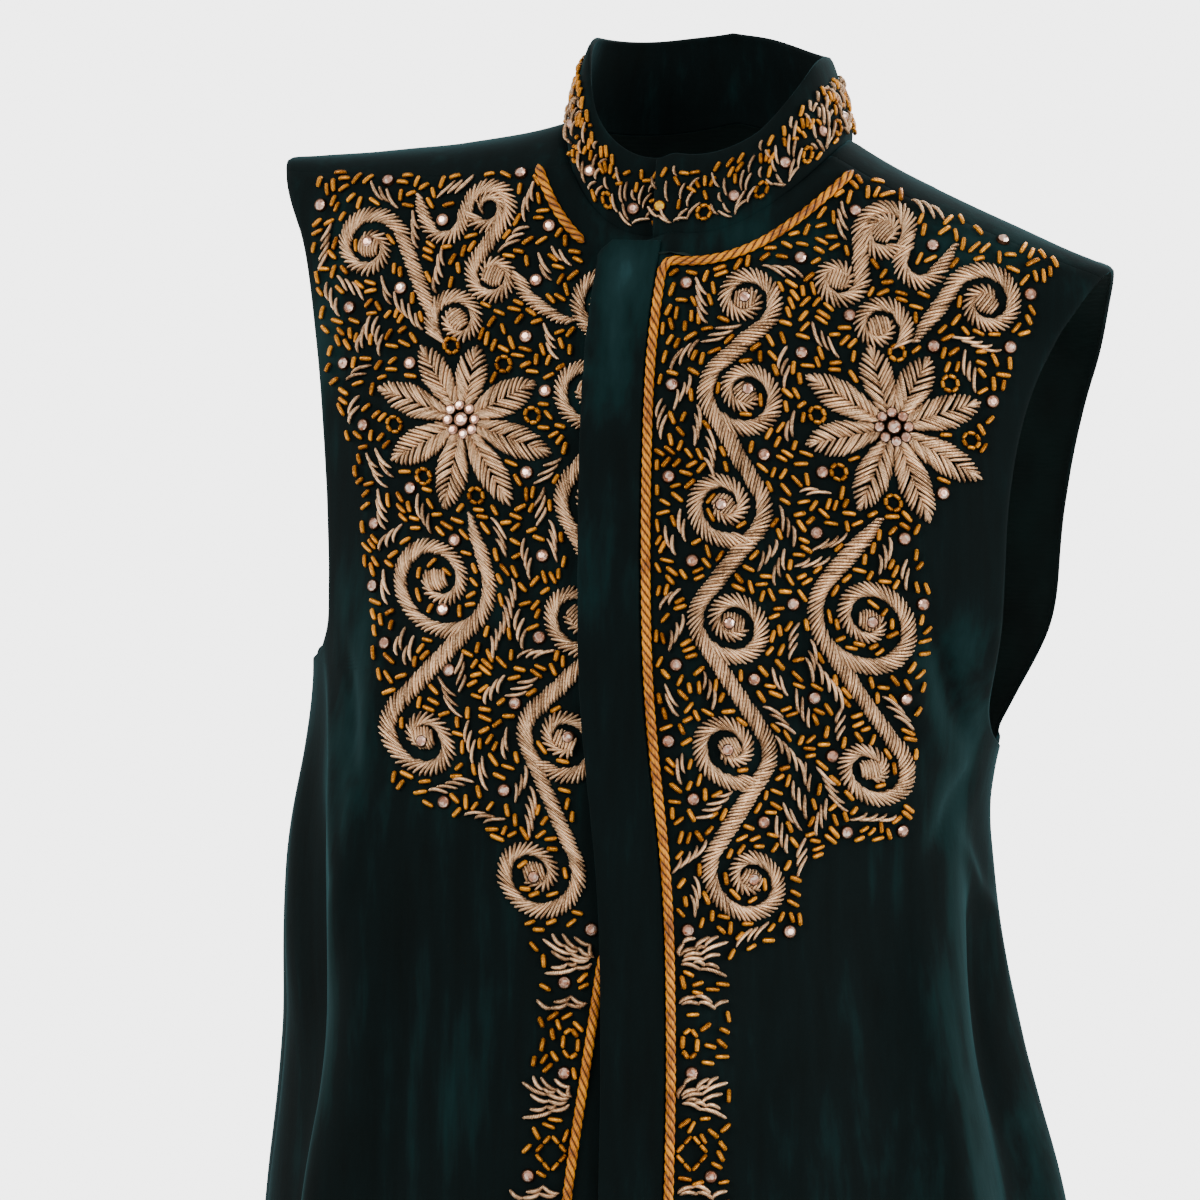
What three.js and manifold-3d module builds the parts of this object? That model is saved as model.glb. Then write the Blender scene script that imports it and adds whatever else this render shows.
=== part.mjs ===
// A sleeveless velvet waistcoat with a stand collar and a concealed front placket, as worn.
// Millimetres, +Z up. The origin is the middle of the neck base, where the wearer's shoulders hold it.
// +X is the wearer's left and -Y is the front.
import * as THREE from "three";
import Module from "manifold-3d";
import { mergeVertices } from "three/addons/utils/BufferGeometryUtils.js";

// Driving sizes
const hemZ = -720;
const underarmZ = -283;
const neckHalfWidth = 70;
const collarFrontHeight = 40;
const collarBackHeight = 46;
const collarLean = 11;
const bandWidth = 30;
const cordWidth = 5;
const clothThick = 1.8;
const collarThick = 2.4;
const bandThick = 1.6;
const cordThick = 2.4;
const seamGap = 0.3;
const layerGap = 0.35;

// The form under the cloth
const neckFrontDrop = 76;
const neckBackDrop = 12;
const ridgeTopZ = 22;
const shoulderSlope = 0.235;
const neckRise = 9;
const neckRiseReach = 32;
const shoulderRoll = 55;
const ridgeY = -8;
const ridgeForward = 0.08;
const roundness = 0.7;
const tiltFrom = 40;

// The placket: the cord on each front, and the plain strip between the cord and the front's edge
const stripWidth = bandWidth + cordWidth / 2 + 0.5;
const stripMiddle = stripWidth * 0.55;
const stemWidth = 9;
const stemThick = 2.2;
const stemClear = 0.65;
const overlapLift = stemClear + stemThick + 2 * layerGap + clothThick;
const liftEase = 42;
const bandTop = -59;
const neckCordDrop = 13;
const edgeCordTop = -375;

// Worn sections: half width, depth to the front and the back, sideways lean, turn in degrees, shoulder tilt
const sections = [
  { z: 70, width: 228, front: 36, back: 84, lean: 0, turn: 0, tilt: 0.175 },
  { z: 0, width: 228, front: 62, back: 94, lean: 0, turn: 0, tilt: 0.175 },
  { z: -60, width: 222, front: 78, back: 103, lean: -9, turn: 0, tilt: 0.175 },
  { z: -110, width: 212, front: 93, back: 110, lean: -15, turn: 1, tilt: 0.175 },
  { z: -160, width: 202, front: 106, back: 114, lean: -17, turn: 2, tilt: 0.175 },
  { z: -220, width: 191, front: 116, back: 116, lean: -18, turn: 3, tilt: 0.175 },
  { z: -283, width: 171, front: 122, back: 114, lean: -31, turn: 10, tilt: 0.165 },
  { z: -370, width: 174, front: 125, back: 112, lean: -39, turn: 17, tilt: 0.085 },
  { z: -450, width: 177, front: 130, back: 118, lean: -34, turn: 15.5, tilt: 0.01 },
  { z: -540, width: 193, front: 137, back: 130, lean: -27, turn: 12, tilt: 0 },
  { z: -720, width: 209, front: 150, back: 147, lean: -22, turn: 10, tilt: 0 },
];

// Armhole edges: distance from the centre line at each height, on the front and on the back
const armhole = [
  { z: -38, front: 207, back: 207 },
  { z: -66, front: 194, back: 200 },
  { z: -98, front: 182, back: 194 },
  { z: -130, front: 174.5, back: 189 },
  { z: -162, front: 170, back: 185 },
  { z: -194, front: 168, back: 182 },
  { z: -222, front: 166.5, back: 180 },
  { z: -246, front: 164, back: 176 },
  { z: -264, front: 163, back: 172.5 },
  { z: -276, front: 166, back: 170.5 },
  { z: underarmZ, front: 171, back: 171 },
];

// How far the shoulder seam lies in front of the ridge, at the neck and at the shoulder tip
const seamDrop = { left: { neck: 11, tip: 6 }, right: { neck: 27, tip: 8 } };

// The right front's cord, measured from the left front's cord towards the wearer's left
const rightCordPath = [
  { z: 0, x: 15 },
  { z: -150, x: 15 },
  { z: -237, x: 8 },
  { z: -317, x: -10 },
  { z: -380, x: -25 },
  { z: -410, x: -33 },
  { z: -537, x: -50 },
  { z: hemZ, x: -58 },
];

// Soft folds: angle round the body at the top and at the hem, height where each starts and is full, height of the
// ridge and its half width in degrees. 0 is the centre front and 90 the wearer's left side.
const folds = [
  { top: 52, hem: 46, start: -250, full: -420, rise: 9, spread: 9 },
  { top: 70, hem: 64, start: -290, full: -430, rise: -8, spread: 8 },
  { top: 84, hem: 82, start: -300, full: -480, rise: 9, spread: 8 },
  { top: 28, hem: 24, start: -430, full: -640, rise: -4, spread: 10 },
  { top: -56, hem: -60, start: -240, full: -400, rise: 9, spread: 9 },
  { top: -76, hem: -77, start: -250, full: -400, rise: -9, spread: 8 },
  { top: -92, hem: -94, start: -300, full: -470, rise: 8, spread: 9 },
  { top: -34, hem: -30, start: -430, full: -640, rise: -4, spread: 9 },
  { top: 112, hem: 110, start: -300, full: -480, rise: -7, spread: 9 },
  { top: 134, hem: 132, start: -250, full: -470, rise: 7, spread: 10 },
  { top: 158, hem: 157, start: -300, full: -500, rise: -6, spread: 10 },
  { top: 181, hem: 180, start: -280, full: -520, rise: 5, spread: 11 },
  { top: 205, hem: 204, start: -300, full: -480, rise: -7, spread: 9 },
  { top: 228, hem: 229, start: -260, full: -470, rise: 7, spread: 10 },
  { top: 249, hem: 250, start: -300, full: -460, rise: -6, spread: 9 },
];

// Embroidered scrolls on the left front, each wound round a circle: centre, the radius of its outer path, and the way
// the stem goes round it (1 is anticlockwise). Stems cross from one circle to the next.
const innerScrolls = [
  { x: 42, z: -86, radius: 15, turn: -1, curl: 1.25 },
  { x: 46, z: -131, radius: 18.5, turn: 1, curl: 1.35 },
  { x: 37, z: -185, radius: 18.5, turn: -1, curl: 1.35 },
  { x: 41, z: -240, radius: 17.5, turn: 1, curl: 1.35 },
  { x: 36, z: -300, radius: 19, turn: -1, curl: 1.35 },
  { x: 41, z: -364, radius: 21.5, turn: 1, curl: 1.4 },
];
const lowerScrolls = [
  { x: 105, z: -229, radius: 25, turn: 1, curl: 1.45 },
  { x: 104, z: -303, radius: 19, turn: -1, curl: 1.35 },
];
const upperScrolls = [{ x: 154, z: -68, radius: 17, turn: -1, curl: 1.35 }];
const shoulderScrolls = [
  { x: 84, z: -69, radius: 11, turn: 1, curl: 1.15 },
  { x: 101, z: -43, radius: 11, turn: -1, curl: 1.15 },
  { x: 121, z: -54, radius: 9, turn: 1, curl: 0 },
];
const flower = { x: 116, z: -135, petals: 8, reach: 45, root: 7, width: 16, first: 68 };

// The same on the right front, mirrored about its own lines
const rightLowerScrolls = [
  { x: -104, z: -233, radius: 26, turn: -1, curl: 1.45 },
  { x: -110, z: -308, radius: 18, turn: 1, curl: 1.3 },
];
const rightUpperScrolls = [{ x: -150, z: -78, radius: 18, turn: 1, curl: 1.35 }];
const rightShoulderScrolls = [
  { x: -84, z: -82, radius: 12, turn: -1, curl: 1.2 },
  { x: -93, z: -50, radius: 10, turn: 1, curl: 1.1 },
  { x: -114, z: -58, radius: 9, turn: -1, curl: 0 },
];
const rightFlower = { ...flower, x: -93, z: -154, first: 80 };

const stemStep = 7.5;
const curlEnd = 4;
const petalThick = 2.6;
const joinTolerance = 0.03;

// Grid sizes
const shoulderRows = 12;
const skirtRows = 17;
const columnCount = 12;

const radians = Math.PI / 180;
const lerp = THREE.MathUtils.lerp;
const clamp = THREE.MathUtils.clamp;
const smooth = (t) => THREE.MathUtils.smoothstep(t, 0, 1);

// One column of a table at a height, on a smooth curve through its rows. Heights fall down the table.
function read(table, column, z) {
  const last = table.length - 1;
  if (z >= table[0].z) return table[0][column];
  if (z <= table[last].z) return table[last][column];
  let i = 0;
  while (table[i + 1].z > z) i++;
  const slope = (j) => {
    const a = Math.max(j - 1, 0);
    const b = Math.min(j + 1, last);
    return (table[b][column] - table[a][column]) / (table[b].z - table[a].z);
  };
  const step = table[i + 1].z - table[i].z;
  const t = (z - table[i].z) / step;
  const t2 = t * t;
  const t3 = t2 * t;
  return (
    table[i][column] * (2 * t3 - 3 * t2 + 1) +
    slope(i) * step * (t3 - 2 * t2 + t) +
    table[i + 1][column] * (3 * t2 - 2 * t3) +
    slope(i + 1) * step * (t3 - t2)
  );
}

// Height of the shoulder ridge at a distance from the centre
function ridge(x) {
  const out = Math.abs(x);
  if (out < neckHalfWidth) return ridgeTopZ * (1 - (out / neckHalfWidth) ** 1.2);
  const beyond = out - neckHalfWidth;
  return -shoulderSlope * beyond - neckRise * (1 - Math.exp(-beyond / neckRiseReach));
}

// How far the folds push the cloth out at an angle and height
function foldRise(angle, z) {
  let rise = 0;
  for (const fold of folds) {
    const centre = lerp(fold.top, fold.hem, clamp((z - fold.start) / (hemZ - fold.start), 0, 1));
    let away = Math.abs(angle - centre) % 360;
    away = Math.min(away, 360 - away) / fold.spread;
    rise += fold.rise * smooth((fold.start - z) / (fold.start - fold.full)) * Math.exp(-away * away);
  }
  return rise;
}

// A point of the cloth. angle goes round the body in degrees: 0 centre front, 90 wearer's left, 180 centre back.
function bodyPoint(angle, z) {
  const width = read(sections, "width", z);
  const turned = angle * radians;
  const behind = Math.cos(turned) < 0;
  const depth = behind ? read(sections, "back", z) : -read(sections, "front", z);
  const x = width * Math.sin(turned);
  const drop = clamp((ridge(x) - z) / shoulderRoll, 0, 1);
  const roll = Math.sqrt(1 - (1 - drop) ** 2);
  const ridgeAt = ridgeY - ridgeForward * Math.abs(x);
  const flat = depth * Math.abs(Math.cos(turned)) ** roundness;
  const y = ridgeAt * (1 - smooth(drop)) + flat * roll;
  const out = new THREE.Vector2(Math.sin(turned) / width, -Math.cos(turned) / Math.abs(depth)).normalize();
  const rise = foldRise(angle, z);
  return posed(new THREE.Vector3(x + out.x * rise, y + out.y * rise, z));
}

// The wearer's stance: the section leans and turns, and the shoulders tilt
function posed(p) {
  const turn = read(sections, "turn", p.z) * radians;
  const x = p.x * Math.cos(turn) - p.y * Math.sin(turn);
  const y = p.x * Math.sin(turn) + p.y * Math.cos(turn);
  const beyondNeck = p.x - tiltFrom * Math.tanh(p.x / tiltFrom);
  return new THREE.Vector3(x + read(sections, "lean", p.z), y, p.z - read(sections, "tilt", p.z) * beyondNeck);
}

// The outward normal of the cloth
function bodyNormal(angle, z) {
  const across = bodyPoint(angle + 0.4, z).sub(bodyPoint(angle - 0.4, z));
  const down = bodyPoint(angle, z - 0.5).sub(bodyPoint(angle, z + 0.5));
  return down.cross(across).normalize();
}

// The angle of a point at a distance from the centre, on the front or the back
function frontAngle(x, z) {
  return Math.asin(clamp(x / read(sections, "width", z), -1, 1)) / radians;
}
function backAngle(x, z) {
  const angle = frontAngle(x, z);
  return x < 0 ? -180 - angle : 180 - angle;
}

// How far the left front stands off the right front under it. It settles before the shoulder seam.
function leftLift(x, z) {
  const underEdge = read(rightCordPath, "x", z) + stripWidth + 4;
  const belowSeam = smooth((ridge(x) - z - seamDrop.left.neck) / liftEase);
  return overlapLift * (1 - smooth((x - underEdge) / liftEase)) * belowSeam;
}

// The neck curve: 0 is the centre front, 90 the wearer's left. grow moves it out from the neck.
function neckCurve(round, grow = 0) {
  const turned = round * radians;
  const x = (neckHalfWidth + grow) * Math.sin(turned);
  const deep = Math.cos(turned) > 0 ? neckFrontDrop + 1.1 * grow : neckBackDrop + grow;
  const z = ridge(x) - deep * Math.abs(Math.cos(turned)) ** 1.7;
  return { x, z, behind: Math.cos(turned) < 0 };
}

// Where the neck curve crosses the shoulder seam on a side, by halving
function neckAtSeam(drop, grow = 0) {
  let low = 0;
  let high = 90;
  for (let i = 0; i < 40; i++) {
    const middle = (low + high) / 2;
    const at = neckCurve(middle, grow);
    if (ridge(at.x) - at.z > drop) low = middle;
    else high = middle;
  }
  return (low + high) / 2;
}

// Stops round the neck on one side: the front's, from the shoulder seam to the centre, and the back's
function neckStops(drop) {
  const start = neckAtSeam(drop);
  const front = [1, 0.8, 0.6, 0.4, 0.2, 0].map((share) => start * share);
  const over = [1, 0.45, 0.12].map((share) => lerp(90, start, Math.sqrt(share)));
  return { front, over, back: [100, 122, 145, 168, 180] };
}

// A sheet is a grid of points with normals: rows of {point, normal}, joined by quads.
function sheetOf(rows) {
  const sheet = { points: [], normals: [], lifts: [], quads: [] };
  const wide = rows[0].length;
  rows.forEach((row, j) =>
    row.forEach((at, i) => {
      sheet.points.push(bodyPoint(at.angle, at.z));
      sheet.normals.push(bodyNormal(at.angle, at.z));
      sheet.lifts.push(at.lift ?? 0);
      if (i > 0 && j > 0) {
        const k = j * wide + i;
        sheet.quads.push([k - wide - 1, k - 1, k, k - wide]);
      }
    }),
  );
  return sheet;
}

// A closed wall from sheets: outer faces, inner faces and a rim along every free edge. Shared points are merged.
function wallOf(sheets, outer, inner) {
  const keyed = new Map();
  const positions = [];
  const faces = [];
  const layer = (sheet, k, offset, tag) => {
    const p = sheet.points[k].clone().addScaledVector(sheet.normals[k], offset + sheet.lifts[k]);
    const at = sheet.points[k];
    const key = [tag, at.x.toFixed(3), at.y.toFixed(3), at.z.toFixed(3)].join();
    if (!keyed.has(key)) {
      keyed.set(key, positions.length / 3);
      positions.push(p.x, p.y, p.z);
    }
    return keyed.get(key);
  };
  const edges = new Map();
  for (const sheet of sheets) {
    for (const quad of sheet.quads) {
      const top = quad.map((k) => layer(sheet, k, outer, "outer"));
      const under = quad.map((k) => layer(sheet, k, inner, "inner"));
      const turn = sheet.mirrored;
      addQuad(faces, top, turn);
      addQuad(faces, under, !turn);
      for (let i = 0; i < 4; i++) {
        const n = (i + 1) % 4;
        const pair = turn ? [top[n], top[i], under[i], under[n]] : [top[i], top[n], under[n], under[i]];
        const back = pair[1] + "," + pair[0];
        if (edges.has(back)) edges.delete(back);
        else edges.set(pair[0] + "," + pair[1], pair);
      }
    }
  }
  for (const [a, b, c, d] of edges.values()) addQuad(faces, [a, d, c, b], false);
  const geometry = new THREE.BufferGeometry();
  geometry.setAttribute("position", new THREE.Float32BufferAttribute(positions, 3));
  geometry.setIndex(faces);
  return geometry;
}

function addQuad(faces, [a, b, c, d], turned) {
  if (turned) faces.push(a, c, b, a, d, c);
  else faces.push(a, b, c, a, c, d);
}

// Rows down one front, from the shoulder seam to the hem. side is 1 for the wearer's left.
function frontRows(side) {
  const left = side > 0;
  const seam = left ? seamDrop.left : seamDrop.right;
  const stops = neckStops(seam.neck).front;
  const neckRows = stops.length - 1;
  const cordX = (z) => (left ? 0 : read(rightCordPath, "x", z));
  const edgeX = (z) => cordX(z) - side * stripWidth;
  const topZ = neckCurve(0).z;
  const rows = [];
  for (let j = 0; j <= shoulderRows + skirtRows; j++) {
    const inner = {};
    const outer = {};
    if (j <= shoulderRows) {
      const t = j / shoulderRows;
      const tip = seamTip(seam.tip);
      outer.z = lerp(tip.z, underarmZ, 1 - (1 - t) ** 1.5);
      outer.x = side * (j > 0 ? read(armhole, "front", outer.z) : tip.x);
    } else {
      outer.z = lerp(underarmZ, hemZ, (j - shoulderRows) / skirtRows);
      outer.x = side * 1e6;
    }
    if (j <= neckRows) {
      const at = neckCurve(stops[j]);
      inner.x = side * at.x;
      inner.z = at.z;
    } else if (j <= shoulderRows) {
      inner.z = lerp(topZ - 3, underarmZ, ((j - neckRows - 1) / (shoulderRows - neckRows - 1)) ** 0.9);
    } else inner.z = outer.z;
    const open = j > neckRows;
    const columns = [];
    for (let i = 0; i <= columnCount; i++) {
      let angle;
      const outerAngle = frontAngle(outer.x, outer.z) - (j >= shoulderRows ? side * seamAngle(outer.z) : 0);
      if (open && i < 3) {
        const x = edgeX(inner.z) + side * [0, stripMiddle, stripWidth][i];
        angle = frontAngle(x, inner.z);
      } else {
        const from = open ? frontAngle(cordX(inner.z), inner.z) : frontAngle(inner.x, inner.z);
        const share = open ? (i - 2) / (columnCount - 2) : i / columnCount;
        angle = lerp(from, outerAngle, share);
      }
      const innerAngle = frontAngle(open ? cordX(inner.z) : inner.x, inner.z);
      let share = clamp((angle - innerAngle) / (outerAngle - innerAngle), 0, 1);
      if (j === 0) share = i / columnCount;
      let z = lerp(inner.z, outer.z, share);
      if (j < shoulderRows) {
        const follow = 1 - smooth(j / shoulderRows);
        const innerX = open ? cordX(inner.z) : inner.x;
        let x = read(sections, "width", z) * Math.sin(angle * radians);
        if (j === 0) x = lerp(innerX, outer.x, share);
        const straight = lerp(ridge(innerX), ridge(outer.x), share);
        z += follow * (ridge(x) - straight);
      }
      if (j === 0) {
        z -= seamGap;
        angle = frontAngle(lerp(inner.x, outer.x, share), z);
      }
      const x = read(sections, "width", z) * Math.sin(angle * radians);
      columns.push({ angle, z, lift: left ? leftLift(x, z) : 0 });
    }
    rows.push(columns);
  }
  return rows;
}

// The outer end of the shoulder seam, a drop below the ridge
function seamTip(drop) {
  const x = read(armhole, "front", armhole[0].z - drop);
  return { x, z: ridge(x) - drop };
}

// Half of the seam gap as an angle at the side seam
function seamAngle(z) {
  const here = bodyPoint(90, z).distanceTo(bodyPoint(89, z));
  return (seamGap * 0.6) / here;
}

// Rows down one half of the back, from the shoulder seam over the ridge to the hem
function backRows(side) {
  const seam = side > 0 ? seamDrop.left : seamDrop.right;
  const stops = neckStops(seam.neck);
  const over = [1, 0.45, 0.12];
  const rows = [];
  const addRow = (inner, outer, follow) => {
    const columns = [];
    for (let i = 0; i <= columnCount; i++) {
      const share = i / columnCount;
      const x = side * lerp(inner.x, outer.x, share);
      let z = lerp(inner.z, outer.z, share);
      z += follow * (ridge(x) - lerp(ridge(inner.x), ridge(outer.x), share));
      columns.push({ x, z, behind: outer.behind });
    }
    rows.push(columns);
  };
  over.forEach((share, k) => {
    const at = neckCurve(stops.over[k]);
    const inner = { x: at.x, z: at.z };
    const tip = seamTip(seam.tip * share);
    addRow(inner, { ...tip, behind: false }, 1);
  });
  const backNeck = stops.back.slice(0, -1);
  const backTip = [0.06, 0.14, 0.24, 0.34];
  const tipZ = armhole[0].z;
  backNeck.forEach((round, k) => {
    const at = neckCurve(round);
    const z = lerp(tipZ, underarmZ, backTip[k]) + 10 * (1 - k / 3);
    addRow({ x: at.x, z: at.z }, { x: read(armhole, "back", z), z, behind: true }, 1 - k * 0.12);
  });
  const more = shoulderRows - 4;
  for (let k = 0; k <= more; k++) {
    const t = k / more;
    const z = lerp(lerp(tipZ, underarmZ, 0.42), underarmZ, 1 - (1 - t) ** 1.5);
    const innerZ = lerp(neckCurve(180).z, underarmZ, t);
    addRow({ x: 0, z: innerZ }, { x: read(armhole, "back", z), z, behind: true }, 0.55 * (1 - t));
  }
  const angleOf = (at) => (at.behind ? backAngle(at.x, at.z) : frontAngle(at.x, at.z));
  const angles = rows.map((row, j) => {
    const even = smooth((j - backNeck.length) / (rows.length - 1 - backNeck.length));
    const inner = row[0].behind && row[0].x === 0 ? side * 180 : angleOf(row[0]);
    const outer = angleOf(row[columnCount]);
    return row.map((at, i) => {
      const own = i > 0 ? angleOf(at) : inner;
      return { angle: lerp(own, lerp(inner, outer, i / columnCount), even), z: at.z };
    });
  });
  for (const row of angles.slice(-1)) for (const at of row) at.z = underarmZ;
  for (let k = 1; k <= skirtRows; k++) {
    const z = lerp(underarmZ, hemZ, k / skirtRows);
    angles.push(angles[angles.length - 1].map((at) => ({ angle: at.angle, z })));
  }
  const underarmRow = angles.length - 1 - skirtRows;
  angles.forEach((row, j) => {
    if (j < underarmRow) return;
    row.forEach((at, i) => {
      const share = i / columnCount;
      at.angle = side * lerp(180, 90 + seamAngle(at.z), share);
    });
  });
  return angles;
}

// The cloth panels
const leftRows = frontRows(1);
const leftFront = sheetOf(leftRows);
const rightFront = sheetOf(frontRows(-1));
rightFront.mirrored = true;
const backLeft = sheetOf(backRows(1));
backLeft.mirrored = true;
const backRight = sheetOf(backRows(-1));


const velvet = new THREE.MeshStandardMaterial({ color: 0x0b2724, roughness: 0.95, metalness: 0 });
const goldCord = new THREE.MeshStandardMaterial({ color: 0xb0701c, roughness: 0.45, metalness: 0.3 });

// The collar: one strip round the neck, from the left end over the front to the right end under it
function collarSheet() {
  const left = neckStops(seamDrop.left.neck);
  const right = neckStops(seamDrop.right.neck);
  const half = (side) => [...side.front.slice(1).reverse(), ...side.over, ...side.back];
  const away = half(left);
  const home = half(right).reverse().slice(1).map((round) => -round);
  const stops = [-7, ...away, ...home, 8, 16];
  const base = stops.map((round, i) => {
    const side = round < 0 ? -1 : 1;
    const at = neckCurve(Math.abs(round), -seamGap);
    const x = side * at.x;
    const angle = at.behind ? backAngle(x, at.z) : frontAngle(x, at.z);
    const lift = i < stops.length / 2 ? leftLift(x, at.z) : 0;
    return bodyPoint(angle, at.z).addScaledVector(bodyNormal(angle, at.z), lift);
  });
  const sheet = { points: [], normals: [], lifts: [], quads: [] };
  const levels = [0, 0.5, 1];
  levels.forEach((level, j) =>
    base.forEach((point, i) => {
      const before = base[Math.max(i - 1, 0)];
      const after = base[Math.min(i + 1, base.length - 1)];
      const outward = new THREE.Vector3(after.y - before.y, before.x - after.x, 0).normalize();
      const leaned = (collarLean + 4 * level) * radians;
      const up = new THREE.Vector3(0, 0, Math.cos(leaned)).addScaledVector(outward, -Math.sin(leaned));
      const share = (1 - Math.cos(stops[i] * radians)) / 2;
      const height = lerp(collarFrontHeight, collarBackHeight, share) * level;
      sheet.points.push(point.clone().addScaledVector(up, height));
      sheet.normals.push(new THREE.Vector3(0, 0, Math.sin(leaned)).addScaledVector(outward, Math.cos(leaned)));
      sheet.lifts.push(0);
      if (i > 0 && j > 0) {
        const k = j * base.length + i;
        const wide = base.length;
        sheet.quads.push([k - 1, k - wide - 1, k - wide, k]);
      }
    }),
  );
  return sheet;
}

// The band on the left front, from the front's edge to the cord, with its top corner cut off
function bandRows() {
  const inner = -cordWidth / 2 - 0.5;
  const outer = -stripWidth;
  const corner = 6;
  const top = bandTop;
  const heights = [top, top - 1.8, top - corner];
  const rest = leftRows.map((row) => row[1].z).filter((z) => z < top - corner - 6);
  return [...heights, ...rest].map((z, j) => {
    const cut = Math.max(0, [corner, corner * 0.35, 0][j] ?? 0);
    return [outer + cut, -stripWidth + stripMiddle, inner].map((x) => ({
      angle: frontAngle(x, z),
      z,
      lift: leftLift(x, z) + layerGap,
    }));
  });
}

// A closed tube with an elliptic section along a path of points and normals
function tubeOf(path, halfWidth, halfThick, sides = 8) {
  const positions = [];
  const faces = [];
  path.forEach((at, i) => {
    const before = path[Math.max(i - 1, 0)].point;
    const after = path[Math.min(i + 1, path.length - 1)].point;
    const along = after.clone().sub(before).normalize();
    const across = at.normal.clone().cross(along).normalize();
    const up = along.clone().cross(across).normalize();
    const wide = halfWidth * (at.width ?? 1);
    for (let k = 0; k < sides; k++) {
      const round = ((k + 0.5) / sides) * 2 * Math.PI;
      const p = at.point
        .clone()
        .addScaledVector(across, Math.cos(round) * wide)
        .addScaledVector(up, Math.sin(round) * halfThick);
      positions.push(p.x, p.y, p.z);
      const next = (k + 1) % sides;
      if (i > 0) {
        const a = (i - 1) * sides;
        addQuad(faces, [a + k, a + next, a + sides + next, a + sides + k], false);
      }
    }
  });
  const last = (path.length - 1) * sides;
  for (let k = 1; k < sides - 1; k++) {
    faces.push(0, k + 1, k);
    faces.push(last, last + k, last + k + 1);
  }
  const geometry = new THREE.BufferGeometry();
  geometry.setAttribute("position", new THREE.Float32BufferAttribute(positions, 3));
  geometry.setIndex(faces);
  return geometry;
}

// A cord's path over one front: places on the front as distance from the centre line and height
function cordPath(places, left) {
  return places.map(({ x, z }) => {
    const angle = frontAngle(x, z);
    const normal = bodyNormal(angle, z);
    const lift = (left ? leftLift(x, z) : 0) + layerGap + cordThick / 2;
    return { point: bodyPoint(angle, z).addScaledVector(normal, lift), normal };
  });
}

// The neck cord follows the neck curve, a strip's width below the collar
function neckCordPlaces(side, from, to, count) {
  return Array.from({ length: count + 1 }, (_, i) => {
    const at = neckCurve(lerp(from, to, i / count), neckCordDrop);
    return { x: side * at.x, z: at.z };
  });
}

const neckCordTop = { left: neckAtSeam(seamDrop.left.neck + 2, neckCordDrop) };
neckCordTop.right = neckAtSeam(seamDrop.right.neck - 3, neckCordDrop);
const cornerZ = neckCurve(2, neckCordDrop).z;
const skirtHeights = leftRows.map((row) => row[1].z);
const placketHeights = [cornerZ - cordWidth / 2 - seamGap, ...skirtHeights.filter((z) => z < cornerZ - 10)];
const edgeHeights = skirtHeights.filter((z) => z < edgeCordTop);

const neckCordLeft = cordPath(neckCordPlaces(1, neckCordTop.left, 0, 12), true);
const neckCordRight = cordPath(neckCordPlaces(-1, neckCordTop.right, 30, 8), false);
const placketCord = cordPath(placketHeights.map((z) => ({ x: 0, z })), true);
const edgeCord = cordPath(edgeHeights.map((z) => ({ x: read(rightCordPath, "x", z), z })), false);

function piece(name, geometry, material) {
  const mesh = new THREE.Mesh(geometry, material);
  mesh.name = name;
  return mesh;
}
const cordOf = (path) => tubeOf(path, cordWidth / 2, cordThick / 2);

// A point on the facets of a front, above its place in the flat drawing
const rays = new THREE.Raycaster();
function seat(x, z, panel) {
  const angle = frontAngle(x, z);
  const normal = bodyNormal(angle, z);
  const start = bodyPoint(angle, z).addScaledVector(normal, 20);
  rays.set(start, normal.clone().negate());
  const hit = rays.intersectObject(panel)[0];
  return { point: hit.point, normal };
}

// The drawn line of one scroll's curl, from the outside to its end
function curlLine(circle, from) {
  const steps = Math.ceil((circle.curl * 2 * Math.PI * circle.radius * 0.62) / (stemStep * 0.85));
  return Array.from({ length: steps + 1 }, (_, i) => {
    const t = i / steps;
    const round = from + circle.turn * circle.curl * 2 * Math.PI * t;
    const radius = lerp(circle.radius, curlEnd, t ** 0.85);
    const width = lerp(1, 0.5, t ** 2);
    return { x: circle.x + radius * Math.cos(round), z: circle.z + radius * Math.sin(round), width };
  });
}

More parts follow.
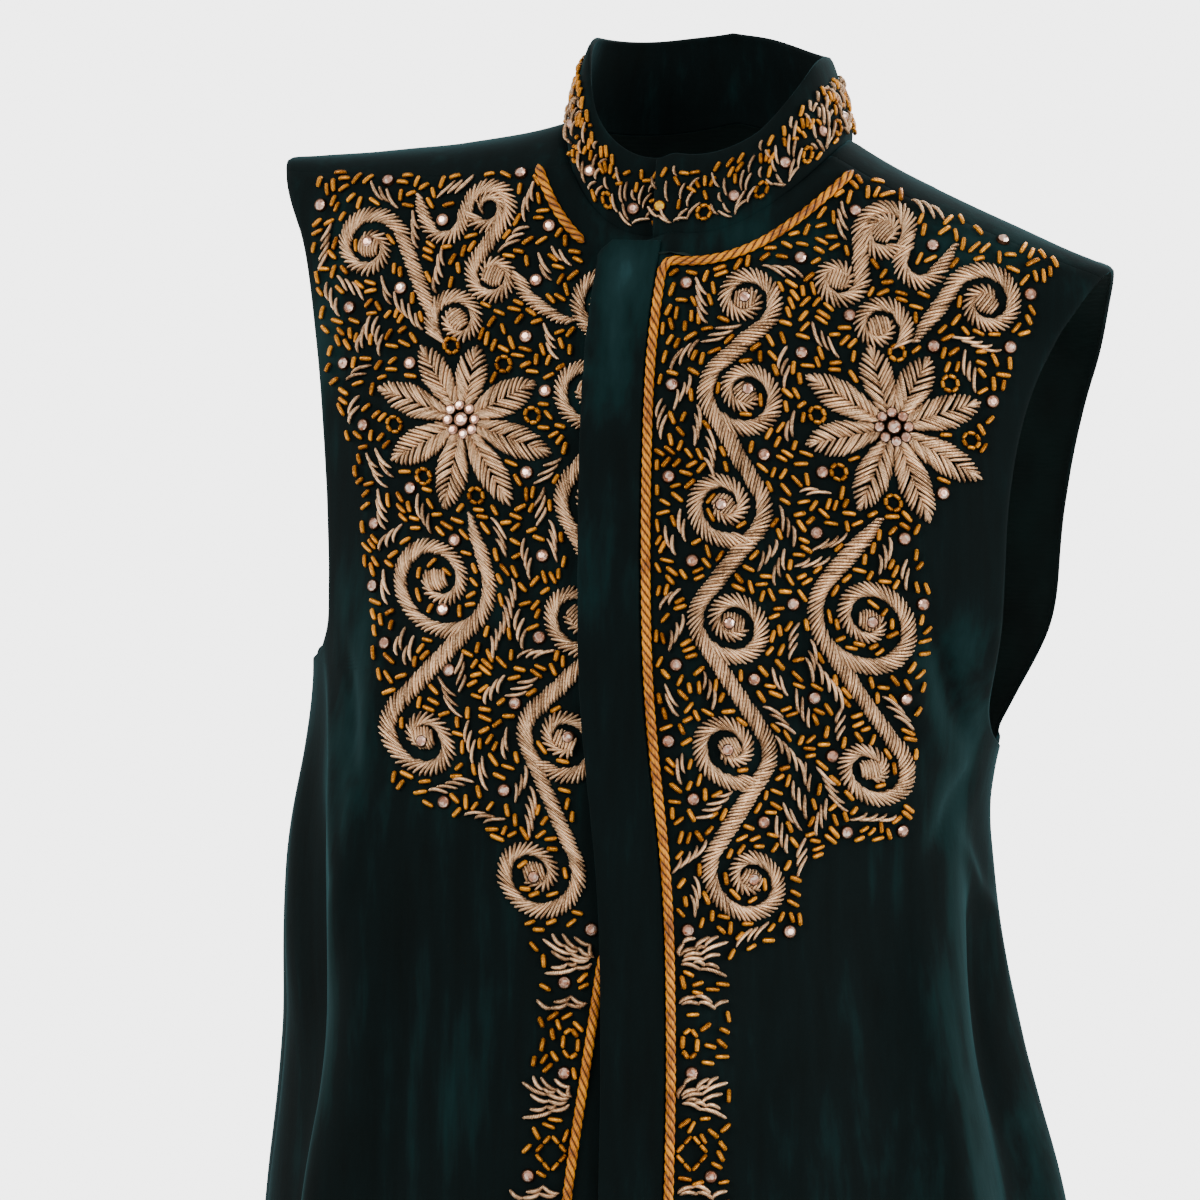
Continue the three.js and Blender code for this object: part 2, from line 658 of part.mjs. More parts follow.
// Lines of a vine: one stem that crosses from circle to circle, and a curl for each. start may be a place.
function vineLines(circles, start, end) {
  const curls = [];
  const stem = [];
  const addLine = (to) => {
    const from = stem[stem.length - 1];
    const steps = Math.max(1, Math.round(Math.hypot(to.x - from.x, to.z - from.z) / (stemStep * 1.3)));
    for (let i = 1; i <= steps; i++) {
      stem.push({ x: lerp(from.x, to.x, i / steps), z: lerp(from.z, to.z, i / steps), width: 1 });
    }
  };
  const onCircle = (circle, round) => ({
    x: circle.x + circle.radius * Math.cos(round),
    z: circle.z + circle.radius * Math.sin(round),
    width: 1,
  });
  const heading = (a, b) => {
    const across = (b.turn ?? 0) * (b.radius ?? 0) - (a.turn ?? 0) * (a.radius ?? 0);
    const far = Math.hypot(b.x - a.x, b.z - a.z);
    return Math.atan2(b.z - a.z, b.x - a.x) - Math.asin(clamp(across / far, -1, 1));
  };
  let arrive = null;
  if (start) {
    stem.push({ ...start, width: 1 });
    arrive = heading(start, circles[0]) - (circles[0].turn * Math.PI) / 2;
    addLine(onCircle(circles[0], arrive));
  }
  circles.forEach((circle, k) => {
    const next = circles[k + 1] ?? end;
    if (!next) {
      const curl = curlLine(circle, arrive);
      stem.push(...curl.slice(1));
      return;
    }
    const way = heading(circle, next);
    const leave = way - (circle.turn * Math.PI) / 2;
    if (arrive === null) {
      stem.push(...curlLine({ ...circle, turn: -circle.turn }, leave).reverse());
    } else {
      const sweep = (((leave - arrive) * circle.turn) % (2 * Math.PI) + 4 * Math.PI) % (2 * Math.PI);
      const steps = Math.max(1, Math.round((sweep * circle.radius) / stemStep));
      for (let i = 1; i <= steps; i++) stem.push(onCircle(circle, arrive + (circle.turn * sweep * i) / steps));
      if (circle.curl > 0) curls.push(curlLine(circle, leave));
    }
    arrive = way - ((next.turn ?? 0) * Math.PI) / 2;
    addLine(next.radius ? onCircle(next, arrive) : next);
  });
  return [stem, ...curls];
}

// The lines as padded ribbons on a front, joined into one body
const wasm = await Module();
wasm.setup();
function solidOf(geometry) {
  const bare = mergeVertices(geometry);
  const vertProperties = new Float32Array(bare.attributes.position.array);
  const triVerts = new Uint32Array(bare.index.array);
  return new wasm.Manifold(new wasm.Mesh({ numProp: 3, vertProperties, triVerts }));
}
function geometryOf(solid) {
  const mesh = solid.getMesh();
  const geometry = new THREE.BufferGeometry();
  geometry.setAttribute("position", new THREE.BufferAttribute(mesh.vertProperties, 3));
  geometry.setIndex(new THREE.BufferAttribute(mesh.triVerts, 1));
  return geometry;
}
function ribbonsOf(lines, panel) {
  const ribbons = lines.map((line) => {
    const path = line.map(({ x, z, width }, i) => {
      const before = line[Math.max(i - 1, 0)];
      const after = line[Math.min(i + 1, line.length - 1)];
      const reach = (stemWidth * width) / 2 / Math.hypot(after.x - before.x, after.z - before.z);
      const across = { x: (before.z - after.z) * reach, z: (after.x - before.x) * reach };
      const { point, normal } = seat(x, z, panel);
      const around = [
        { x: x + across.x, z: z + across.z },
        { x: x - across.x, z: z - across.z },
        { x: (x + before.x) / 2, z: (z + before.z) / 2 },
        { x: (x + after.x) / 2, z: (z + after.z) / 2 },
      ];
      const heights = around.map((place) => seat(place.x, place.z, panel).point.sub(point).dot(normal));
      point.addScaledVector(normal, stemClear + stemThick / 2 + Math.max(0, ...heights));
      return { point, normal, width };
    });
    return solidOf(tubeOf(path, stemWidth / 2, stemThick / 2, 6));
  });
  return geometryOf(ribbons.reduce((whole, ribbon) => whole.add(ribbon)).simplify(joinTolerance));
}

// A flower of pointed petals round a centre
function flowerOf(shape, panel) {
  const petals = Array.from({ length: shape.petals }, (_, k) => {
    const round = (shape.first + (360 / shape.petals) * k) * radians;
    const path = [-0.06, 0.12, 0.3, 0.5, 0.7, 0.86, 1].map((t, i) => {
      const far = lerp(shape.root, shape.reach, t);
      const x = shape.x + far * Math.cos(round);
      const z = shape.z + far * Math.sin(round);
      const { point, normal } = seat(x, z, panel);
      point.addScaledVector(normal, stemClear + petalThick / 2);
      return { point, normal, width: [0.45, 0.62, 0.88, 1, 0.85, 0.5, 0.12][i] };
    });
    return solidOf(tubeOf(path, shape.width / 2, petalThick / 2, 6));
  });
  const middle = [-0.9, -0.5, 0, 0.5, 0.9].map((t) => {
    const { point, normal } = seat(shape.x, shape.z + t * shape.root * 1.5, panel);
    point.addScaledVector(normal, stemClear + petalThick * 0.7);
    return { point, normal, width: Math.sqrt(1 - t * t) };
  });
  const heart = solidOf(tubeOf(middle, shape.root * 1.5, petalThick * 0.7, 8));
  return geometryOf(petals.reduce((whole, petal) => whole.add(petal), heart).simplify(joinTolerance));
}

const mirrored = (circles) =>
  circles.map((circle) => ({
    ...circle,
    x: read(rightCordPath, "x", circle.z) - circle.x,
    turn: -circle.turn,
  }));

const frontLeft = piece("front_left", wallOf([leftFront], 0, -clothThick), velvet);
const frontRight = piece("front_right", wallOf([rightFront], 0, -clothThick), velvet);
const bullion = new THREE.MeshStandardMaterial({ color: 0xb59a74, roughness: 0.4, metalness: 0.6 });

const vines = [
  ["inner_vine_left", frontLeft, vineLines(innerScrolls)],
  ["inner_vine_right", frontRight, vineLines(mirrored(innerScrolls))],
  ["lower_vine_left", frontLeft, vineLines(lowerScrolls, { x: 110, z: -180 })],
  ["lower_vine_right", frontRight, vineLines(rightLowerScrolls, { x: -88, z: -199 })],
  ["upper_vine_left", frontLeft, vineLines(upperScrolls, { x: 124, z: -92 })],
  ["upper_vine_right", frontRight, vineLines(rightUpperScrolls, { x: -109, z: -112 })],
  ["shoulder_vine_left", frontLeft, vineLines(shoulderScrolls, null, { x: 135, z: -44 })],
  ["shoulder_vine_right", frontRight, vineLines(rightShoulderScrolls, null, { x: -130, z: -48 })],
];

const waistcoat = new THREE.Group();
waistcoat.add(frontLeft);
waistcoat.add(frontRight);
waistcoat.add(piece("back", wallOf([backLeft, backRight], 0, -clothThick), velvet));
waistcoat.add(piece("collar", wallOf([collarSheet()], 0, -collarThick), velvet));
waistcoat.add(piece("placket_band", wallOf([sheetOf(bandRows())], bandThick, 0), velvet));
waistcoat.add(piece("neck_cord_left", cordOf(neckCordLeft), goldCord));
waistcoat.add(piece("neck_cord_right", cordOf(neckCordRight), goldCord));
waistcoat.add(piece("placket_cord", cordOf(placketCord), goldCord));
waistcoat.add(piece("edge_cord", cordOf(edgeCord), goldCord));
for (const [name, panel, lines] of vines) waistcoat.add(piece(name, ribbonsOf(lines, panel), bullion));
waistcoat.add(piece("flower_left", flowerOf(flower, frontLeft), bullion));
waistcoat.add(piece("flower_right", flowerOf(rightFlower, frontRight), bullion));

export default waistcoat;
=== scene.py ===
import random
from math import asin, atan2, ceil, cos, degrees, dist, exp, hypot, pi, radians, sin, sqrt, tan, tanh

import bmesh
import bpy
from mathutils import Matrix, Vector
from mathutils.noise import noise


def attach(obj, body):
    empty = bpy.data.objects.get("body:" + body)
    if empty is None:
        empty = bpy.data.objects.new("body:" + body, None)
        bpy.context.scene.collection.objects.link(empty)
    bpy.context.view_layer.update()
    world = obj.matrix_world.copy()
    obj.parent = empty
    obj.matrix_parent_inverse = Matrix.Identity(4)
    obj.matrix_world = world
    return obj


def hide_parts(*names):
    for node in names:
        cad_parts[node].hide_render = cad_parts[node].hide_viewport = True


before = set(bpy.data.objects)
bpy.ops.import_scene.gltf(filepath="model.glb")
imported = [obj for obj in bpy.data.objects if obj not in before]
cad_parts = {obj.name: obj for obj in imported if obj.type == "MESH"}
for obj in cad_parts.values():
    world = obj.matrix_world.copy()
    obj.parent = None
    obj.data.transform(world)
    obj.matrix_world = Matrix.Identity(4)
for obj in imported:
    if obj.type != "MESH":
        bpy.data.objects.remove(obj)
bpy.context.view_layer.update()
print("frame loaded:", len(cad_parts), "nodes")

# Camera first. Lengths in these tables are millimetres unless a note says metres.
shot = {      # degrees and metres
    "azimuth": 12, "elevation": 1, "target": (-0.060, 0.0, -0.233),
    "distance": 3.0, "width": 0.6, "sensor": 36,      # the sensor in millimetres
}


def makeCamera():
    data = bpy.data.cameras.new("camera")
    data.sensor_width = shot["sensor"]
    data.lens = shot["sensor"] * shot["distance"] / shot["width"]
    camera = bpy.data.objects.new("camera", data)
    bpy.context.scene.collection.objects.link(camera)
    turn, lift = radians(shot["azimuth"]), radians(shot["elevation"])
    back = Vector((sin(turn) * cos(lift), -cos(turn) * cos(lift), sin(lift)))
    camera.location = Vector(shot["target"]) + back * shot["distance"]
    camera.rotation_mode = "QUATERNION"
    camera.rotation_quaternion = (-back).to_track_quat("-Z", "Y")
    bpy.context.scene.camera = camera


makeCamera()


# Small helpers for materials and meshes

def srgb(code):      # a hex colour as linear values
    parts = [int(code[i:i + 2], 16) / 255 for i in (1, 3, 5)]
    return tuple(c / 12.92 if c <= 0.04045 else ((c + 0.055) / 1.055) ** 2.4 for c in parts) + (1.0,)


def addNode(tree, kind, settings=None, links=None):
    node = tree.nodes.new("ShaderNode" + kind)
    for key, value in (settings or {}).items():
        if key == "stops":      # places and colours of a colour ramp
            marks = node.color_ramp.elements
            while len(marks) < len(value):
                marks.new(0.5)
            for mark, (place, colour) in zip(marks, value):
                mark.position = place
                mark.color = srgb(colour)
        elif isinstance(key, int) or key in node.inputs:
            node.inputs[key].default_value = value
        else:
            setattr(node, key, value)
    for key, source in (links or {}).items():
        tree.links.new(source, node.inputs[key])
    return node


def newMaterial(name):
    material = bpy.data.materials.new(name)
    material.use_nodes = True
    tree = material.node_tree
    tree.nodes.clear()
    return material, tree, addNode(tree, "TexCoord").outputs


def finishMaterial(tree, shader):
    addNode(tree, "OutputMaterial", links={"Surface": shader.outputs["BSDF"]})


def makeObject(name, bm, materials, rounded=True):
    mesh = bpy.data.meshes.new(name)
    bm.to_mesh(mesh)
    bm.free()
    for material in materials:
        mesh.materials.append(material)
    if rounded:
        mesh.shade_smooth()
    piece = bpy.data.objects.new(name, mesh)
    bpy.context.scene.collection.objects.link(piece)
    return piece


# A part of the waistcoat, in place of its CAD nodes where it has any
def addPiece(name, bm, materials, nodes=(), rounded=True):
    piece = makeObject(name, bm, materials, rounded)
    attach(piece, "root")
    if nodes:
        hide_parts(*nodes)
    return piece


# A grid whose points are moved by a function of across and along, both 0 to 1, that gives millimetres.
# Where a mark is given, its number is kept on each point as the tone that the material reads.
def gridMesh(columns, rows, place, mark=None, bm=None):
    own = bm or bmesh.new()
    own.loops.layers.uv.verify()
    tones = own.verts.layers.float.get("tone") or own.verts.layers.float.new("tone")
    made = bmesh.ops.create_grid(own, x_segments=columns, y_segments=rows, size=0.5, calc_uvs=True)
    for vert in made["verts"]:
        across, along = vert.co.x + 0.5, vert.co.y + 0.5
        vert.co = place(across, along) * 0.001
        vert[tones] = mark(across, along) if mark else 0.0
    return own


# The form under the cloth: worn sections, from the shoulders to the hem
hemZ, underarmZ = -720, -283
form = {
    "neckHalf": 70, "neckFront": 76, "neckBack": 12, "ridgeTop": 22, "slope": 0.235, "rise": 9,
    "riseReach": 32, "roll": 55, "ridgeY": -8, "ridgeForward": 0.08, "roundness": 0.7, "tiltFrom": 40,
}
sections = [      # height, half width, depth to the front and the back, lean, turn in degrees, shoulder tilt
    (70, 228, 36, 84, 0, 0, .175), (0, 228, 62, 94, 0, 0, .175), (-60, 222, 78, 103, -9, 0, .175),
    (-110, 212, 93, 110, -15, 1, .175), (-160, 202, 106, 114, -17, 2, .175),
    (-220, 191, 116, 116, -18, 3, .175), (-283, 171, 122, 114, -31, 10, .165),
    (-370, 174, 125, 112, -39, 17, .085), (-450, 177, 130, 118, -34, 15.5, .01),
    (-540, 193, 137, 130, -27, 12, 0), (-720, 209, 150, 147, -22, 10, 0),
]
armhole = [       # height, distance of the armhole's edge from the centre on the front and the back
    (-38, 207, 207), (-66, 194, 200), (-98, 182, 194), (-130, 174.5, 189), (-162, 170, 185), (-194, 168, 182),
    (-222, 166.5, 180), (-246, 164, 176), (-264, 163, 172.5), (-276, 166, 170.5), (-283, 171, 171),
]
rightCordPath = [
    (0, 15), (-150, 15), (-237, 8), (-317, -10), (-380, -25), (-410, -33), (-537, -50), (-720, -58),
]
seamDrop = {1: (11, 6), -1: (27, 8)}      # the shoulder seam below the ridge, at the neck and at the tip
# Angle at the top and the hem, height of the start and of full depth, height, half width in degrees
folds = [
    (52, 46, -250, -420, 9, 9), (70, 64, -290, -430, -8, 8), (84, 82, -300, -480, 9, 8),
    (28, 24, -430, -640, -4, 10), (-56, -60, -240, -400, 9, 9), (-76, -77, -250, -400, -9, 8),
    (-92, -94, -300, -470, 8, 9), (-34, -30, -430, -640, -4, 9), (112, 110, -300, -480, -7, 9),
    (134, 132, -250, -470, 7, 10), (158, 157, -300, -500, -6, 10), (181, 180, -280, -520, 5, 11),
    (205, 204, -300, -480, -7, 9), (228, 229, -260, -470, 7, 10), (249, 250, -300, -460, -6, 9),
]
placket = {"strip": 33, "bandTop": -59, "lift": 5.35, "ease": 42, "neckDrop": 13, "edgeTop": -375}


def lerp(a, b, t):
    return a + (b - a) * t


def clamp(t, low=0.0, high=1.0):
    return min(max(t, low), high)


def smooth(t):
    t = clamp(t)
    return t * t * (3 - 2 * t)


def column(rows, index):      # one column of a table as a smooth function of height
    def slope(j):
        a, b = max(j - 1, 0), min(j + 1, len(rows) - 1)
        return (rows[b][index] - rows[a][index]) / (rows[b][0] - rows[a][0])

    def curve(z):
        if z >= rows[0][0]:
            return rows[0][index]
        if z <= rows[-1][0]:
            return rows[-1][index]
        i = 0
        while rows[i + 1][0] > z:
            i += 1
        step = rows[i + 1][0] - rows[i][0]
        t = (z - rows[i][0]) / step
        return (rows[i][index] * (2 * t ** 3 - 3 * t * t + 1) + slope(i) * step * (t ** 3 - 2 * t * t + t)
                + rows[i + 1][index] * (3 * t * t - 2 * t ** 3) + slope(i + 1) * step * (t ** 3 - t * t))

    samples = [curve(90 - k) for k in range(830)]

    def at(z):
        t = clamp(90 - z, 0, 828.5)
        k = int(t)
        return samples[k] + (samples[k + 1] - samples[k]) * (t - k)
    return at


widthAt, frontDepth, backDepth, leanAt, turnAt, tiltAt = [column(sections, i) for i in range(1, 7)]
armFront, armBack = column(armhole, 1), column(armhole, 2)
rightCord = column(rightCordPath, 1)


def ridge(x):
    out = abs(x)
    if out < form["neckHalf"]:
        return form["ridgeTop"] * (1 - (out / form["neckHalf"]) ** 1.2)
    beyond = out - form["neckHalf"]
    return -form["slope"] * beyond - form["rise"] * (1 - exp(-beyond / form["riseReach"]))


def foldRise(angle, z):
    rise = 0
    for top, hem, start, full, high, spread in folds:
        if z > start:
            continue
        centre = lerp(top, hem, clamp((z - start) / (hemZ - start)))
        away = abs(angle - centre) % 360
        away = min(away, 360 - away) / spread
        if away < 3:
            rise += high * smooth((start - z) / (start - full)) * exp(-away * away)
    return rise


def bodyPoint(angle, z):
    width = widthAt(z)
    turned = radians(angle)
    side, facing = sin(turned), cos(turned)
    depth = backDepth(z) if facing < 0 else -frontDepth(z)
    x = width * side
    drop = clamp((ridge(x) - z) / form["roll"])
    ridgeAt = form["ridgeY"] - form["ridgeForward"] * abs(x)
    flat = depth * abs(facing) ** form["roundness"]
    y = ridgeAt * (1 - smooth(drop)) + flat * sqrt(max(0, 1 - (1 - drop) ** 2))
    out = Vector((side / width, -facing / abs(depth))).normalized() * foldRise(angle, z)
    x, y = x + out.x, y + out.y
    turn = radians(turnAt(z))
    beyond = x - form["tiltFrom"] * tanh(x / form["tiltFrom"])
    return Vector((x * cos(turn) - y * sin(turn) + leanAt(z), x * sin(turn) + y * cos(turn),
                   z - tiltAt(z) * beyond))


def bodyNormal(angle, z):
    across = bodyPoint(angle + 0.4, z) - bodyPoint(angle - 0.4, z)
    down = bodyPoint(angle, z - 0.5) - bodyPoint(angle, z + 0.5)
    return down.cross(across).normalized()


def frontAngle(x, z):
    return degrees(asin(clamp(x / widthAt(z), -1, 1)))


def backAngle(x, z):
    return -180 - frontAngle(x, z) if x < 0 else 180 - frontAngle(x, z)


def leftLift(x, z):      # the left front stands off the right front under it
    underEdge = rightCord(z) + placket["strip"] + 4
    below = smooth((ridge(x) - z - seamDrop[1][0]) / placket["ease"])
    return placket["lift"] * (1 - smooth((x - underEdge) / placket["ease"])) * below


def neckCurve(around, grow=0):
    turned = radians(around)
    x = (form["neckHalf"] + grow) * sin(turned)
    deep = form["neckFront"] + 1.1 * grow if cos(turned) > 0 else form["neckBack"] + grow
    return x, ridge(x) - deep * abs(cos(turned)) ** 1.7, cos(turned) < 0


def neckAtSeam(drop, grow=0):
    low, high = 0, 90
    for _ in range(40):
        middle = (low + high) / 2
        x, z, _behind = neckCurve(middle, grow)
        low, high = (middle, high) if ridge(x) - z > drop else (low, middle)
    return (low + high) / 2


def seamTip(drop):
    x = armFront(armhole[0][0] - drop)
    return x, ridge(x) - drop


# Main creases of the worn cloth: depth, half width, then angle round the body and height along it.
# Troughs are negative. Depth eases out at both ends.
creases = [
    (-2.4, 8, (43, -222), (56, -266), (70, -292)),
    (-2.8, 8, (70, -292), (57, -320), (45, -358)),
    (1.6, 10, (38, -236), (50, -276), (60, -300)),
    (2.6, 11, (46, -350), (45, -419), (47, -480), (45, -600)),
    (2.2, 9, (57, -330), (77, -377), (80, -440)),
    (-2.4, 10, (64, -352), (70, -420), (68, -520)),
    (2.4, 11, (78, -470), (76, -560), (79, -690)),
    (-1.2, 12, (33, -380), (35, -470), (34, -560)),
    (1.2, 16, (20, -430), (22, -560), (20, -700)),
    (2.4, 9, (-72, -268), (-64, -326), (-59, -377), (-64, -440)),
    (2.2, 12, (-63, -430), (-62, -500), (-58, -600), (-60, -700)),
    (1.9, 8, (-50, -262), (-55, -330), (-57, -390)),
    (-2.2, 7, (-62, -262), (-57, -310), (-52, -360)),
    (-2.6, 10, (-72, -330), (-74, -420), (-70, -520)),
    (-1.8, 12, (-45, -360), (-47, -450), (-44, -580)),
    (1.3, 15, (-30, -420), (-32, -520), (-29, -640)),
    (2.4, 10, (-84, -300), (-86, -400), (-84, -470)),
    (-2.2, 9, (84, -300), (92, -350), (96, -430)),
    (2.2, 12, (104, -290), (112, -380), (116, -500)),
    (-2.6, 11, (128, -260), (138, -350), (141, -470)),
    (2.0, 14, (150, -300), (152, -430), (150, -600)),
    (-2.2, 13, (166, -330), (170, -450), (168, -640)),
    (-1.4, 14, (176, -60), (178, -150), (180, -260)),
    (2.2, 14, (190, -350), (193, -480), (190, -680)),
    (-2.4, 12, (208, -280), (213, -400), (211, -520)),
    (2.2, 11, (232, -270), (225, -350), (222, -460)),
    (-2.2, 11, (243, -300), (245, -420), (247, -560)),
    (-1.6, 12, (140, -60), (146, -110), (150, -160)),
    (-1.6, 12, (214, -58), (210, -120), (204, -180)),
    (2.6, 14, (120, -540), (123, -620), (121, -715)),
    (2.4, 15, (160, -560), (159, -640), (161, -715)),
    (2.6, 14, (236, -560), (234, -640), (236, -715)),
]
degreeLength = 3.1      # millimetres of cloth to a degree, near enough for creases
deeper = 1.3            # creases are worn deeper than they measure in soft light
creaseLines = []
for depth, width, *path in creases:
    line = [(a * degreeLength, z) for a, z in path]
    box = [end(values) + sign * width * 2.6 for values in zip(*line) for end, sign in ((min, -1), (max, 1))]
    creaseLines.append((depth * deeper, width, line, [dist(a, b) for a, b in zip(line, line[1:])], box))


def creaseRise(angle, z):
    rise = 0
    turned = angle % 360
    for depth, width, line, lengths, (low, high, bottom, top) in creaseLines:
        s = turned * degreeLength
        if s > high + 1:
            s -= 360 * degreeLength
        if not (low < s < high and bottom < z < top):
            continue
        best, along, run = 1e9, 0, 0
        for a, b, length in zip(line, line[1:], lengths):
            t = clamp(((s - a[0]) * (b[0] - a[0]) + (z - a[1]) * (b[1] - a[1])) / (length * length))
            far = hypot(s - lerp(a[0], b[0], t), z - lerp(a[1], b[1], t))
            if far < best:
                best, along = far, run + t * length
            run += length
        share = along / run
        ends = smooth(share / 0.3) * smooth((1 - share) / 0.35)
        rise += depth * ends * exp(-(best / width) ** 2)
    return rise


def clothRise(angle, z):      # creases, and the slight unevenness of worn velvet
    turned = radians(angle)
    place = Vector((sin(turned) * 2.6, cos(turned) * 2.6, z / 95))
    return creaseRise(angle, z) + 0.7 * noise(place) + 0.25 * noise(place * 3.1)


def clothPoint(angle, z, lift=0.0):
    return bodyPoint(angle, z) + bodyNormal(angle, z) * (clothRise(angle, z) + lift)


def frontPoint(x, z, left, lift=0.0):      # a point on a front, by its place in the flat drawing
    return clothPoint(frontAngle(x, z), z, lift + (leftLift(x, z) if left else 0))


# Painted sheen: paler patches in the velvet's colour where it catches the side light, drawn as pile stroked
# up:
# angle and height of the middle, reach round and down, strength
sheenPatches = [
    (-4, -78, 16, 22, 1.0), (-5, -118, 14, 34, 0.62), (-8, -215, 12, 60, 0.25), (-55, -120, 12, 90, 0.55),
    (-58, -272, 15, 60, 0.6), (-56, -318, 12, 46, 0.6), (-66, -366, 12, 40, 0.35), (54, -240, 10, 34, 0.45),
    (64, -284, 12, 40, 0.75), (58, -322, 11, 26, 0.55), (84, -385, 12, 50, 0.55), (76, -495, 12, 60, 0.45),
    (46, -440, 9, 90, 0.3), (40, -40, 34, 14, 0.75), (14, -52, 30, 12, 0.5), (88, -300, 16, 70, 0.3),
    (118, -330, 20, 100, 0.25), (150, -160, 34, 90, 0.2), (186, -260, 30, 130, 0.14),
    (214, -140, 28, 90, 0.2), (236, -360, 22, 100, 0.26), (168, -500, 30, 130, 0.14),
    (130, -560, 24, 100, 0.2), (206, -600, 28, 100, 0.16),
]
sheenPatchPlaces = [(bodyPoint(angle, z), wide, high, strength) for angle, z, wide, high, strength in sheenPatches]


# Painted sheen: how much the flank of a crease that turns away from the middle is painted paler, as if it
# caught the light
def creaseFlankSheen(angle, z):
    slope = sum(rise(angle + 1, z) - rise(angle - 1, z) for rise in (creaseRise, foldRise))
    slope /= 2 * degreeLength
    onLeft = (angle + 180) % 360 > 180
    return clamp((-slope if onLeft else slope) / 0.3)


# Painted sheen in the velvet's colour: paler patches and crease flanks, kept on each point for the material
def paintPileSheen(piece):
    mesh = piece.data
    flankSheen = mesh.attributes["tone"].data
    values = []
    for vert in mesh.vertices:
        place = vert.co * 1000
        paintedSheen = 0.5 * flankSheen[vert.index].value      # painted sheen on the flank of a crease that turns away from the middle
        for middle, wide, high, strength in sheenPatchPlaces:
            if abs(place.z - middle.z) < 2 * high:
                away = hypot(place.x - middle.x, place.y - middle.y) / wide
                if away < 2:
                    paintedSheen += strength * exp(-away * away - ((place.z - middle.z) / high) ** 2)
        values.append(min(paintedSheen, 1.0) * (0.75 + 0.5 * noise(Vector((place.x, place.y, place.z / 2)) / 22)))
    mesh.attributes.new("nap", "FLOAT", "POINT").data.foreach_set("value", values)


# The cloth panels. Places are an angle and a height at real rows and columns of the source's own grid.
panel = {"columns": 84, "rows": 210, "thick": 1.8, "columnsBack": 78, "rowsBack": 210}
neckRows, armRows, allRows, allColumns = 5, 12, 29, 12


def frontPlace(side, i, j):
    tip, tipDrop = seamDrop[side]
    for low, high in ((0, 1), (neckRows, neckRows + 1)):      # straight between these rows
        if low < j < high:
            a, b = frontPlace(side, i, low), frontPlace(side, i, high)
            return tuple(lerp(p, q, j - low) for p, q in zip(a, b))
    if j <= armRows:
        t = j / armRows
        tipX, tipZ = seamTip(tipDrop)
        outerZ = lerp(tipZ, underarmZ, 1 - (1 - t) ** 1.5)
        outerX = side * (armFront(outerZ) if j > 0 else tipX)
        outerAngle = frontAngle(outerX, outerZ)
    else:
        outerZ = lerp(underarmZ, hemZ, (j - armRows) / (allRows - armRows))
        outerX, outerAngle = side * widthAt(outerZ), side * 90
    if j >= armRows:
        outerAngle += side * 0.12      # it meets the back inside the seam
    opened = j > neckRows
    if not opened:
        innerX, innerZ, _behind = neckCurve(neckAtSeam(tip) * (1 - j / neckRows))
        innerX *= side
        innerAngle = frontAngle(innerX, innerZ)
    else:
        top = neckCurve(0)[1] - 9
        t = (j - neckRows - 1) / (armRows - neckRows - 1)
        innerZ = outerZ if j > armRows else lerp(top, underarmZ, t ** 0.9)
        innerX = 0 if side > 0 else rightCord(innerZ)
        innerAngle = frontAngle(innerX, innerZ)
    if opened and i < 2:
        edge = side * placket["strip"]
        angle = frontAngle(innerX - edge + edge * lerp(0, 0.55, i) if i < 1 else
                           innerX - edge + edge * lerp(0.55, 1, i - 1), innerZ)
    elif opened:
        angle = lerp(innerAngle, outerAngle, (i - 2) / (allColumns - 2))
    else:
        angle = lerp(innerAngle, outerAngle, i / allColumns)
    share = i / allColumns if j == 0 else clamp((angle - innerAngle) / (outerAngle - innerAngle))
    z = lerp(innerZ, outerZ, share)
    if j < armRows:
        follow = 1 - smooth(j / armRows)
        x = lerp(innerX, outerX, share) if j == 0 else widthAt(z) * sin(radians(angle))
        z += follow * (ridge(x) - lerp(ridge(innerX), ridge(outerX), share))
    if j == 0:
        angle = frontAngle(lerp(innerX, outerX, share), z)
    return angle, z


def backGrid(side):      # the back's rows, from the shoulder seam over the ridge and down
    tip, tipDrop = seamDrop[side]
    start = neckAtSeam(tip)
    rows = []

    def addRow(inner, outer, follow, behind):
        row = []
        for i in range(allColumns + 1):
            share = i / allColumns
            x = side * lerp(inner[0], outer[0], share)
            z = lerp(inner[1], outer[1], share)
            z += follow * (ridge(x) - lerp(ridge(inner[0]), ridge(outer[0]), share))
            row.append((x, z, behind))
        rows.append(row)

    for share in (1, 0.45, 0.12):
        addRow(neckCurve(lerp(90, start, sqrt(share)))[:2], seamTip(tipDrop * share), 1, False)
    for k, (around, part) in enumerate(zip((100, 122, 145, 168), (0.06, 0.14, 0.24, 0.34))):
        z = lerp(armhole[0][0], underarmZ, part) + 10 * (1 - k / 3)
        addRow(neckCurve(around)[:2], (armBack(z), z), 1 - k * 0.12, True)
    for k in range(9):
        t = k / 8
        z = lerp(lerp(armhole[0][0], underarmZ, 0.42), underarmZ, 1 - (1 - t) ** 1.5)
        addRow((0, lerp(neckCurve(180)[1], underarmZ, t)), (armBack(z), z), 0.55 * (1 - t), True)
    made = []
    for j, row in enumerate(rows):
        even = smooth((j - 4) / (len(rows) - 5))
        angles = [backAngle(x, z) if behind else frontAngle(x, z) for x, z, behind in row]
        if row[0][2] and row[0][0] == 0:
            angles[0] = side * 180
        made.append([(lerp(own, lerp(angles[0], angles[-1], i / allColumns), even), row[i][1])
                     for i, own in enumerate(angles)])
    for k in range(18):
        z = lerp(underarmZ, hemZ, k / 17)
        row = [(side * lerp(180, 89.88, i / allColumns), z) for i in range(allColumns + 1)]
        if k == 0:
            made[-1] = row
        else:
            made.append(row)
    return made


